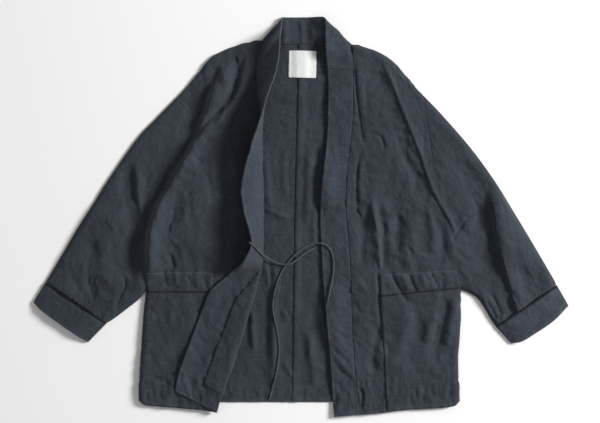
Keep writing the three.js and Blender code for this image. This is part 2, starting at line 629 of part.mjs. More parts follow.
const cuffLines = (half) => {
  const low = half.sleeveUnder[half.sleeveUnder.length - 1];
  const high = half.sleeveTop[half.sleeveTop.length - 1];
  const mouth = half.cuffMouth;
  return (t, w) => {
    const seam = [mix(low[0], high[0], w), mix(low[1], high[1], w)];
    const edge = pace(mouth, 1 - w);
    return [mix(seam[0], edge[0], t), mix(seam[1], edge[1], t)];
  };
};
const CUFF_COLUMNS = 10;
const CUFF_ROWS = 3;
const CUFF_DEPTH = 50; // seam to mouth
const PIPING_SHARE = 0.075; // of the cuff's depth, about 4 mm
const GAP_SHARE = GAP / CUFF_DEPTH;

function cuffPlan(half, from, to, rows) {
  const line = cuffLines(half);
  return Array.from({ length: rows + 1 }, (_, r) => Array.from(
    { length: CUFF_COLUMNS + 1 },
    (__, c) => line(mix(from, to, r / rows), c / CUFF_COLUMNS),
  ));
}

// A cuff's upper side rises from its two long edges to a full width of loft.
const CUFF_EDGE_LOFT = 5;
const CUFF_LOFT = 12;
const CUFF_ROUND = 45;
function cuffTop(half) {
  const line = cuffLines(half);
  const ends = [0, 1].map((w) => [line(0, w), line(1, w)]);
  return (x, y) => {
    const near = Math.min(...ends.map((path) => toPath(path, x, y)[0]));
    const round = 1 - (1 - Math.min(1, near / CUFF_ROUND)) ** 2;
    const z = mix(CUFF_EDGE_LOFT, CUFF_LOFT, round);
    return { p: new THREE.Vector3(x, y, z), n: new THREE.Vector3(0, 0, 1) };
  };
}

for (const [name, half, sign] of [['right', RIGHT, -1], ['left', LEFT, 1]]) {
  const plan = sleevePlan(half, sign);
  const short = ([x, y]) => [x - sign * GAP, y + GAP];
  const inset = plan.map((row, r) => (r === plan.length - 1 ? row.map(short) : row));
  add(`sleeve_${name}`, tube(inset, onLoft, CLOTH), indigo);
  const strip = cuffPlan(half, GAP_SHARE, PIPING_SHARE, 1);
  add(`cuff_piping_${name}`, tube(strip, cuffTop(half), DOUBLED), piping);
  const cuff = cuffPlan(half, PIPING_SHARE + GAP_SHARE, 1, CUFF_ROWS);
  add(`cuff_${name}`, tube(cuff, cuffTop(half), DOUBLED), indigo);
}

// ---- Patch pockets, made from the fronts' own points moved out ----
const MOUTH_ROW = UPPER_ROWS;
const PIPING_ROW = UPPER_ROWS + 3;
const outward = ({ p, n }, distance) => ({ p: p.clone().addScaledVector(n, distance), n });
// Moves the first and the last row in along the cloth, by a distance in millimetres.
function trimmed(rows, top, bottom) {
  const last = rows.length - 1;
  const between = (a, b, distance) => a.map(({ p, n }, c) => {
    const share = distance / p.distanceTo(b[c].p);
    return { p: p.clone().lerp(b[c].p, share), n: n.clone().lerp(b[c].n, share).normalize() };
  });
  const first = between(rows[0], rows[1], top);
  const end = between(rows[last], rows[last - 1], bottom);
  return rows.map((row, r) => [first, row, end][(r > 0) + (r === last)]);
}
const SEAT = CLOTH + GAP;

for (const [name, grid] of [['right', rightGrid], ['left', leftGrid]]) {
  const patch = (from, to) => grid.slice(from, to + 1)
    .map((row) => row.slice(0, POCKET_COLUMNS + 1).map((point) => outward(point, SEAT)));
  const last = grid.length - 1;
  add(`pocket_${name}`, cloth(trimmed(patch(PIPING_ROW + 1, last), GAP / 2, POCKET_FOOT)), indigo);
  add(`pocket_piping_${name}`, cloth(trimmed(patch(PIPING_ROW, PIPING_ROW + 1), GAP / 2, GAP / 2)), piping);
  add(`pocket_band_${name}`, cloth(trimmed(patch(MOUTH_ROW, PIPING_ROW), 0, GAP / 2)), indigo);
}

// ---- Neck label, left bare ----
const labelShape = new THREE.BoxGeometry(LABEL.width, LABEL.height, LABEL.thickness);
labelShape.rotateZ(LABEL.turn);
labelShape.translate(LABEL.x, LABEL.y, CLOTH + GAP + LABEL.thickness / 2);
add('label', labelShape, white);

// ---- Ties ----
const TIE_SIDES = 8;
const TIE_STEP = 9; // length of one section along it
function tie(points) {
  const route = points.map(([x, y, z]) => new THREE.Vector3(x, y, z));
  const path = new THREE.CatmullRomCurve3(route, false, 'centripetal');
  const shape = new THREE.Shape(Array.from({ length: TIE_SIDES }, (_, i) => {
    const angle = (2 * Math.PI * i) / TIE_SIDES;
    return new THREE.Vector2(Math.cos(angle), Math.sin(angle)).multiplyScalar(TIE_DIAMETER / 2);
  }));
  const steps = Math.round(path.getLength() / TIE_STEP);
  return new THREE.ExtrudeGeometry(shape, { steps, extrudePath: path, bevelEnabled: false });
}
add('tie_right', tie(TIE_RIGHT), indigo);
add('tie_left', tie(TIE_LEFT), indigo);

export default group;
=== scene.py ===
import math

import bpy
import numpy as np
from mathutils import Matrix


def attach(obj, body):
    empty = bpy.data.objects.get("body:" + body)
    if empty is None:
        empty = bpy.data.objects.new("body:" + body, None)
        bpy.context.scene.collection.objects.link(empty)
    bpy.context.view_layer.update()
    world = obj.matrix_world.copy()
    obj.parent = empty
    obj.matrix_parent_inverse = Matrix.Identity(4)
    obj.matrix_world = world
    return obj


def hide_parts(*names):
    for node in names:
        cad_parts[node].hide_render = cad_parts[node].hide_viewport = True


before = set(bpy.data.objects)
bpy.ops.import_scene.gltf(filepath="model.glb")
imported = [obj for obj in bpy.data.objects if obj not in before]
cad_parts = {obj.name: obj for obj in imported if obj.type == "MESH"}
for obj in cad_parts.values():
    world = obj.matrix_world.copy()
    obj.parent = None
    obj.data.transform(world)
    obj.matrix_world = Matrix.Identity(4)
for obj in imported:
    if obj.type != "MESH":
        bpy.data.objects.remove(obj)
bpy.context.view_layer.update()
print("CAD nodes:", len(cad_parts))

# %% [markdown]
# ## Camera, floor and light
# The jacket lies on a pale floor and is seen from straight above, so the camera's own axes already
# agree with the floor's and it needs no turning. A long lens keeps the near-upright band from leaning.
# %% Camera
MM = 0.001  # the shapes below are worked out in millimetres and written in metres
VIEW_WIDTH = 1.26
VIEW_CENTRE = (-0.0021, 0.01155)
LENS = 85
SENSOR = 36

camera = bpy.data.cameras.new("camera")
camera.lens = LENS
camera.sensor_width = SENSOR
camera_object = bpy.data.objects.new("camera", camera)
camera_object.location = (*VIEW_CENTRE, VIEW_WIDTH * LENS / SENSOR)
bpy.context.scene.collection.objects.link(camera_object)
bpy.context.scene.camera = camera_object
bpy.context.scene.view_settings.view_transform = "Standard"
print("camera height:", round(camera_object.location.z, 3))

# %% [markdown]
# One wide soft lamp stands to the right and a little towards the neck, low enough for the folds to
# throw shadows to the left. The sky is the fill light.
# %% Light
KEY_AZIMUTH = 17  # degrees from +X towards +Y
KEY_HEIGHT = 30  # degrees above the floor
KEY_DISTANCE = 6
KEY_SIZE = 1.9
KEY_POWER = 525
SKY = (0.95, 0.97, 1.0)
SKY_STRENGTH = 0.39


def aim(distance, azimuth, height):
    """A place on a sphere round the jacket, its two angles in degrees."""
    a, h = math.radians(azimuth), math.radians(height)
    level = distance * math.cos(h)
    return [level * math.cos(a), level * math.sin(a), distance * math.sin(h)]


key = bpy.data.lights.new("key", "AREA")
key.shape = "DISK"
key.size = KEY_SIZE
key.energy = KEY_POWER
key_object = bpy.data.objects.new("key", key)
key_object.location = aim(KEY_DISTANCE, KEY_AZIMUTH, KEY_HEIGHT)
key_object.rotation_euler = (0, math.radians(90 - KEY_HEIGHT), math.radians(KEY_AZIMUTH))
bpy.context.scene.collection.objects.link(key_object)

world = bpy.data.worlds.new("sky")
world.use_nodes = True
world.node_tree.nodes["Background"].inputs["Color"].default_value = (*SKY, 1)
world.node_tree.nodes["Background"].inputs["Strength"].default_value = SKY_STRENGTH
bpy.context.scene.world = world
print("lamp at", [round(v, 2) for v in key_object.location])

# %% [markdown]
# The floor is one plain sheet of matt paper, a hair below the cloth so that the two never share a plane.
# It isn't part of the jacket.
# %% Floor
FLOOR_HALF = 6
FLOOR_DROP = 0.0004
FLOOR_COLOUR = (0.88, 0.872, 0.865, 1)
FLOOR_ROUGHNESS = 0.9
floor_mesh = bpy.data.meshes.new("floor")
floor_mesh.from_pydata(
    [(x * FLOOR_HALF, y * FLOOR_HALF, -FLOOR_DROP) for x, y in ((-1, -1), (1, -1), (1, 1), (-1, 1))],
    [], [(0, 1, 2, 3)],
)
floor = bpy.data.objects.new("floor", floor_mesh)
bpy.context.scene.collection.objects.link(floor)
paper = bpy.data.materials.new("floor_paper")
paper.use_nodes = True
paper.node_tree.nodes["Principled BSDF"].inputs["Base Color"].default_value = FLOOR_COLOUR
paper.node_tree.nodes["Principled BSDF"].inputs["Roughness"].default_value = FLOOR_ROUGHNESS
floor_mesh.materials.append(paper)
print("floor side:", 2 * FLOOR_HALF)

# %% [markdown]
# ## Small mathematics
# All outlines are short lists of points with a smooth curve through them. These helpers read a place
# on such a curve, find where it crosses a height, and walk it at a steady pace.
# %% Curves
def mix(a, b, t):
    return a + (b - a) * t


def rise(t):
    """A soft step from 0 to 1."""
    s = np.clip(t, 0, 1)
    return s * s * (3 - 2 * s)


def within(value, start, end, fade_in, fade_out):
    """0 before `start` and after `end`, 1 well inside, with a soft step of the given width at each end."""
    return rise((value - start) / fade_in) * rise((end - value) / fade_out)


def bell(distance, width):
    """1 on a line and fading on both sides of it."""
    return np.exp(-((distance / width) ** 2))


def on_curve(rows, at):
    """Places on the smooth curve through some points. 0 is the first point, 1 the second, and so on."""
    rows = np.asarray(rows, float)
    at = np.asarray(at, float)
    last = len(rows) - 1
    i = np.clip(np.floor(at).astype(int), 0, last - 1)
    t = np.clip(at - i, 0, 1)[..., None]
    a, b, c, d = rows[np.maximum(0, i - 1)], rows[i], rows[i + 1], rows[np.minimum(last, i + 2)]
    start = np.where((i == 0)[..., None], c - b, (c - a) / 2)
    end = np.where((i + 1 == last)[..., None], c - b, (d - b) / 2)
    bend = (2 * b - 2 * c + start + end) * t + (3 * c - 3 * b - 2 * start - end)
    return (bend * t + start) * t + b


FINE = 60  # samples between two points, where a curve is searched


def place_at(rows, column, value):
    """Where on the curve one of its columns has a value. The column only rises or only falls."""
    at = np.linspace(0, len(rows) - 1, FINE * (len(rows) - 1) + 1)
    values = on_curve(rows, at)[:, column]
    if values[0] > values[-1]:
        at, values = at[::-1], values[::-1]
    return np.interp(value, values, at)


def x_at_y(rows, y):
    return on_curve(rows, place_at(rows, 1, y))[..., 0]


def y_at_x(rows, x):
    return on_curve(rows, place_at(rows, 0, x))[..., 1]


def pace(rows, share):
    """Places on the curve by their share of its length."""
    at = np.linspace(0, len(rows) - 1, FINE * (len(rows) - 1) + 1)
    points = on_curve(rows, at)
    lengths = np.concatenate([[0], np.cumsum(np.linalg.norm(np.diff(points, axis=0), axis=1))])
    return on_curve(rows, np.interp(np.asarray(share) * lengths[-1], lengths, at))


print("half way along a bent line:", pace([[0, 0], [10, 0], [10, 10]], 0.5).round(2))

# %% [markdown]
# Creases are troughs and ridges that follow such curves. For every point of cloth the nearest place on
# the crease's path gives how far away it is, on which side, and how near the crease's ends.
# %% Creases
FOLD_TAPER = 0.2  # share of a crease over which each end fades
FOLD_REACH = 3  # widths from its path beyond which a crease no longer counts
PATH_STEPS = 4  # straight pieces between two points of its path
FAR = 1e9


def along_path(path, x, y):
    """For each place: its distance to the path, how far along it from 0 to 1, and on which side it lies."""
    best = np.full(x.shape, FAR)
    place = np.zeros(x.shape)
    side = np.zeros(x.shape)
    count = len(path) - 1
    for i in range(count):
        (ax, ay), (bx, by) = path[i], path[i + 1]
        dx, dy = bx - ax, by - ay
        t = np.clip(((x - ax) * dx + (y - ay) * dy) / (dx * dx + dy * dy), 0, 1)
        off_x, off_y = x - ax - t * dx, y - ay - t * dy
        d = np.hypot(off_x, off_y)
        near = d < best
        best = np.where(near, d, best)
        place = np.where(near, (i + t) / count, place)
        side = np.where(near, np.sign(dx * off_y - dy * off_x), side)
    return best, place, side


def fold_height(folds, x, y):
    """Height of a table of creases at each place, in mm."""
    total = np.zeros(x.shape)
    for height, width, lean, path in folds:
        smooth = on_curve(path, np.linspace(0, len(path) - 1, PATH_STEPS * (len(path) - 1) + 1))
        reach = FOLD_REACH * width
        inside = (x > smooth[:, 0].min() - reach) & (x < smooth[:, 0].max() + reach)
        inside &= (y > smooth[:, 1].min() - reach) & (y < smooth[:, 1].max() + reach)
        if not inside.any():
            continue
        d, place, side = along_path(smooth, x[inside], y[inside])
        spread = width * (1 + lean * side)
        ends = within(place, 0, 1, FOLD_TAPER, FOLD_TAPER)
        total[inside] += height * bell(d, spread) * ends
    return total


one_crease = [(4, 10, 0, [[0, 0], [50, 0], [100, 0]])]
print("across one crease:", fold_height(one_crease, np.full(4, 50.0), np.arange(0, 20, 5.0)).round(2))

# %% [markdown]
# Between the creases cotton is never flat: it keeps a net of faint crinkles. Gradient noise gives
# soft swells. Its absolute value folds the swells where they cross zero, which reads as pressed lines.
# Three sizes of such lines lie over each other, each at its own slant, on top of wide soft dents.
# %% Crinkles
LATTICE = 128
USUAL_SWELL = 0.3  # about the mean size of the noise
WANDER, WANDER_SIZE = 9, 55  # mm by which the pressed lines leave the straight, and over what distance
# rise in mm, size in mm, turn from the main direction, stretch, and whether it wanders in x and in y
NET = [
    (2.5, 38, 0, 2.0, 1, 0),
    (-2.3, 26, 35, 1.6, 0, 1),
    (-1.0, 13, -30, 1.4, 0, 0),
]
DENT_RISE, DENT_SIZE, DENT_STRETCH = 2.6, 60, 1.6


def swell(x, y, size, seed, angle=0.0, stretch=1.0):
    """Soft noise from -1 to 1: waves `size` mm apart, drawn out `stretch` times along `angle` degrees."""
    turns = np.random.default_rng(seed).uniform(0, 2 * np.pi, (LATTICE, LATTICE))
    a = math.radians(angle)
    u = (x * math.cos(a) + y * math.sin(a)) / (size * stretch) + LATTICE
    v = (y * math.cos(a) - x * math.sin(a)) / size + LATTICE
    iu, iv = np.floor(u).astype(int), np.floor(v).astype(int)
    fu, fv = u - iu, v - iv
    wu, wv = (f * f * f * (f * (f * 6 - 15) + 10) for f in (fu, fv))

    def corner(du, dv):
        turn = turns[(iu + du) % LATTICE, (iv + dv) % LATTICE]
        return np.cos(turn) * (fu - du) + np.sin(turn) * (fv - dv)

    return 1.5 * mix(mix(corner(0, 0), corner(1, 0), wu), mix(corner(0, 1), corner(1, 1), wu), wv)


def pressed(x, y, size, seed, angle, stretch):
    """Noise folded where it crosses zero, which makes sharp valleys. Its mean is about 0."""
    return np.abs(swell(x, y, size, seed, angle, stretch)) - USUAL_SWELL


def crinkle(x, y, seed, angle=90.0, depth=1.0):
    """Pressed lines and soft dents of worn cotton in mm, most of them along `angle` degrees."""
    wander = WANDER * swell(x, y, WANDER_SIZE, seed + 7)
    net = 0
    for step, (tall, size, turn, stretch, in_x, in_y) in enumerate(NET, 1):
        at_x, at_y = x + in_x * wander, y + in_y * wander
        net = net + tall * pressed(at_x, at_y, size, seed + step, angle + turn, stretch)
    dents = DENT_RISE * swell(x, y, DENT_SIZE, seed + 4, angle, DENT_STRETCH)
    return depth * (net + dents)


hand = np.linspace(0, 90, 50)
print("crinkle depth over a hand's width:", float(crinkle(hand, hand * 0, seed=1).std().round(2)))

# %% [markdown]
# A seam pulls the cloth in. Beside it runs a shallow groove, and the thread's pull raises short puckers
# across it. They are noise again, drawn out away from the seam and fading with the distance from it.
# %% Seam relief
SEAM_GROOVE = 0.55
SEAM_WIDTH = 3.2
PUCKER_RISE = 1.1


def seam_relief(distance, along, seed, reach=12.0, size=9.0, depth=1.0):
    """Beside a seam the cloth dips into it and puckers, most of all within `reach` mm."""
    long = swell(along, distance * 0.3, size, seed)
    short = 0.6 * swell(along, distance * 0.2, size / 2, seed + 1)
    pucker = PUCKER_RISE * (long + short) * bell(distance, reach)
    return depth * (pucker - SEAM_GROOVE * bell(distance, SEAM_WIDTH))


print("puckers beside a seam:", seam_relief(np.full(4, 2.0), np.arange(0, 40, 10.0), seed=1).round(2))

# %% [markdown]
# ## The cut
# These are the garment's driving sizes and outlines, nearly all the same as the solids have: only the
# rounding of the edges and the gaps at the seams are finer. A list of points is an outline that a smooth
# curve passes through. `RIGHT` and `LEFT` are the wearer's, so `RIGHT` lies at -X. All is in millimetres.
# %% Sizes
CLOTH = 1.2  # wall of the single cloth
DOUBLED = 2.4  # wall of the collar band and the cuffs, which are doubled cloth
GAP = 0.3  # between two pieces at a seam
BAND_GAP = 0.15  # at the standing band's seam
BAND_WIDTH = 57
BAND_LIFT = 0.1  # of the flat band over the front beside it
LOFT = 8  # usual height of the upper cloth above the floor
EDGE_LOFT = 4.4  # its height at the garment's outline
EDGE_ROUND = 9  # width over which it comes down to that
NECK_Y = 362  # back neck seam
JOIN_Y = 309  # cross seams of the collar band
TOP_Y = 368  # shoulders' ends at the neck
MOUTH_Y = -116  # top of the pockets' mouth bands
PIPING_TOP_Y = -155
PIPING_BOTTOM_Y = -159
UNDERARM_Y = -149
BACK_HEM_Y = -388
LOWEST_SEAM_Y = -386  # end of the side seams
INNER_HEM_Y = -400  # of the fronts, where the pockets' lines meet the hem
POCKET_FOOT = 3  # the pocket ends this far above the hem's edge
SEAT = CLOTH + GAP  # from a front's centre to the centre of a patch on it
COLLAR_FOLD_RADIUS = 4  # of the band's two folds beside the neck
print("walls of", CLOTH, "and", DOUBLED, "mm")

# %% Outlines
RIGHT = {
    "shoulder": [[-256, 252], [-233, 278], [-205, 312], [-186, 333], [-170, 343], [-153, 352], [-128, 360],
                 [-93.5, 368]],
    "armhole": [[-256, 252], [-232, 226], [-233, 192], [-252, 148], [-282, 92], [-308, 25], [-321, -59],
                [-323, -149]],
    "side": [[-323, -149], [-328, -195], [-332, -250], [-334, -300], [-336, -343], [-338, -386]],
    "hem": [[-338, -387], [-326, -394], [-297, -397], [-264, -400], [-213, -404], [-190, -407], [-176, -410]],
    "sleeve_top": [[-256, 252], [-296, 211], [-343, 161], [-402, 77], [-434, 26], [-466, -24], [-496, -75],
                   [-534, -139]],
    "sleeve_under": [[-323, -149], [-338, -168], [-359, -185], [-395, -212], [-410, -221]],
    "cuff_mouth": [[-559, -181], [-543, -196], [-505, -224], [-467, -250], [-449, -261]],
    "pocket_edge": [[-185, MOUTH_Y], [-186, -237], [-188, -400]],
}
LEFT = {
    "shoulder": [[257, 252], [235, 278], [205, 312], [183, 332], [164, 343], [147, 352], [124, 360],
                 [108, 368]],
    "armhole": [[257, 252], [264, 205], [273, 141], [289, 57], [309, -48], [332, -149]],
    "side": [[332, -149], [334, -162], [333, -217], [329, -280], [329, -322], [331, -386]],
    "hem": [[331, -388], [318, -397], [278, -401], [211, -405], [177, -410], [144, -413], [125, -414]],
    "band_seam": [[108, 368], [109, 288], [109, 225], [105, 162], [97, 99], [94, 15], [101, -69], [105, -153],
                  [107, -216], [111, -279], [116, -342], [125, -414]],
    "band_edge": [[51, 368], [55, 309], [57, 267], [55, 183], [50, 120], [42, 36], [40, -6], [42, -59],
                  [46, -132], [52, -195], [57, -258], [61, -300], [66, -370], [70, -419]],
    "sleeve_top": [[257, 252], [296, 211], [354, 144], [403, 77], [445, 9], [485, -58], [524, -125],
                   [534, -144]],
    "sleeve_under": [[332, -149], [352, -157], [371, -169], [388, -193], [400, -213], [410, -227]],
    "cuff_mouth": [[559, -188], [528, -218], [490, -244], [462, -261], [444, -264]],
    "pocket_edge": [[166, MOUTH_Y], [172, -237], [181, -400]],
}
BACK_CENTRE = [[-6, NECK_Y], [-8, 225], [-12, 57], [-15, -100], [-17, -237], [-19, -388]]
print("points in the outlines:", sum(len(line) for half in (RIGHT, LEFT) for line in half.values()))

# %% [markdown]
# The creases come in tables, in millimetres. The main ones shape the solids too. The finer ones are laid
# over them here. A negative rise is a trough, and a lean makes one flank steeper than the other. Cloth
# simulation could find such folds too, but not these ones in these places, so they are listed here.
# %% Main folds: rise, width, lean, path
FOLDS = [
    (-6, 15, 0, [[-172, 322], [-181, 298], [-197, 256], [-212, 214], [-233, 172], [-265, 130]]),
    (-6, 17, 0, [[-233, 172], [-265, 130], [-286, 78], [-307, 36], [-319, -17], [-322, -90]]),
    (8, 15, 0, [[-158, 334], [-154, 277], [-165, 232], [-190, 195], [-212, 172]]),
    (-6, 8, 0, [[-132, 335], [-134, 288], [-145, 256], [-166, 229], [-212, 178], [-235, 150]]),
    (6, 14, 0, [[-116, 335], [-120, 280], [-140, 235], [-172, 190], [-198, 150]]),
    (-6, 30, 0, [[-100, 330], [-94, 256], [-88, 204], [-86, 67], [-86, -52], [-88, -110]]),
    (9, 45, 0, [[-205, 140], [-220, 60], [-235, -20], [-238, -90]]),
    (7, 13, 0, [[-282, 56], [-300, 4], [-308, -48], [-311, -100], [-313, -150]]),
    (-5, 12, 0, [[-365, 112], [-363, 67], [-353, 25], [-342, -17], [-328, -60]]),
    (5, 12, 0, [[-338, 96], [-341, 40], [-331, -10]]),
    (5, 60, 0, [[-400, 40], [-430, -60], [-460, -140]]),
    (4, 30, 0, [[-270, -190], [-262, -290], [-268, -380]]),
    (9, 12, 0, [[166, 330], [187, 288], [208, 235], [229, 183], [246, 141], [260, 99]]),
    (8, 12, 0, [[246, 141], [260, 99], [275, 57], [292, 25], [307, -17], [317, -59], [326, -100]]),
    (-4, 7, 0, [[113, 334], [118, 267], [122, 214], [130, 162], [136, 130]]),
    (-5, 10, 0, [[124, 151], [120, 109], [120, 36], [126, -38]]),
    (6, 9, 0, [[146, 60], [160, -48], [162, -110]]),
    (-5, 9, 0, [[160, 40], [172, -48], [176, -110]]),
    (-4, 10, 0, [[205, 190], [214, 141], [236, 90], [252, 25]]),
    (-4, 10, 0, [[204, 10], [202, -80]]),
    (4, 14, 0, [[232, 20], [228, -60], [222, -110]]),
    (5, 16, 0, [[66, 130], [60, 60], [58, 10]]),
    (4, 16, 0, [[70, -140], [76, -220], [84, -300]]),
    (-7, 16, 0, [[338, 120], [365, 60], [388, 4], [393, -48], [399, -101], [414, -150]]),
    (6, 26, 0, [[396, 60], [425, 0], [440, -60], [462, -120]]),
    (-5, 14, 0, [[302, -165], [292, -225], [284, -280]]),
    (-4, 14, 0, [[270, -175], [245, -245], [210, -320]]),
    (4, 18, 0, [[225, -180], [214, -260], [206, -340]]),
]
BACK_FOLDS = [
    (4.4, 9, 0, [[-76, 18], [-48, 8], [-22, -2]]),
    (-3, 2.6, 0, [[-76, 23], [-48, 14], [-20, 3]]),
    (3, 4, 0, [[-80, -78], [-72, -115], [-66, -152]]),
    (3.8, 10, 0, [[18, 150], [16, 60], [10, -30]]),
    (3.8, 12, 0, [[-50, -200], [-56, -290], [-62, -350]]),
    (3.8, 10, 0, [[14, -230], [24, -320], [30, -360]]),
    (3.9, 7, 0.2, [[-58, -84], [-55, -130], [-58, -190], [-60, -250], [-56, -330]]),
    (4.4, 6, 0.3, [[-102, -195], [-103, -235], [-98, -290]]),
    (2.4, 4, 0, [[-36, -300], [-28, -318], [-16, -338]]),
    (2.4, 4, 0, [[-42, -190], [-34, -206], [-30, -222]]),
    (2.7, 5, 0.2, [[21, -246], [18, -272], [22, -300]]),
    (2.4, 5, 0, [[24, -306], [36, -316], [50, -326]]),
    (4.2, 8, 0.3, [[36, -180], [46, -215], [58, -250]]),
    (2.1, 6, 0, [[-76, 130], [-70, 70], [-66, 10]]),
    (1.8, 5, 0, [[-34, 150], [-36, 90], [-32, 40]]),
    (2.4, 6, 0.2, [[30, 30], [26, -20], [30, -70]]),
]
print("main folds:", len(FOLDS), "on the upper cloth,", len(BACK_FOLDS), "on the back")

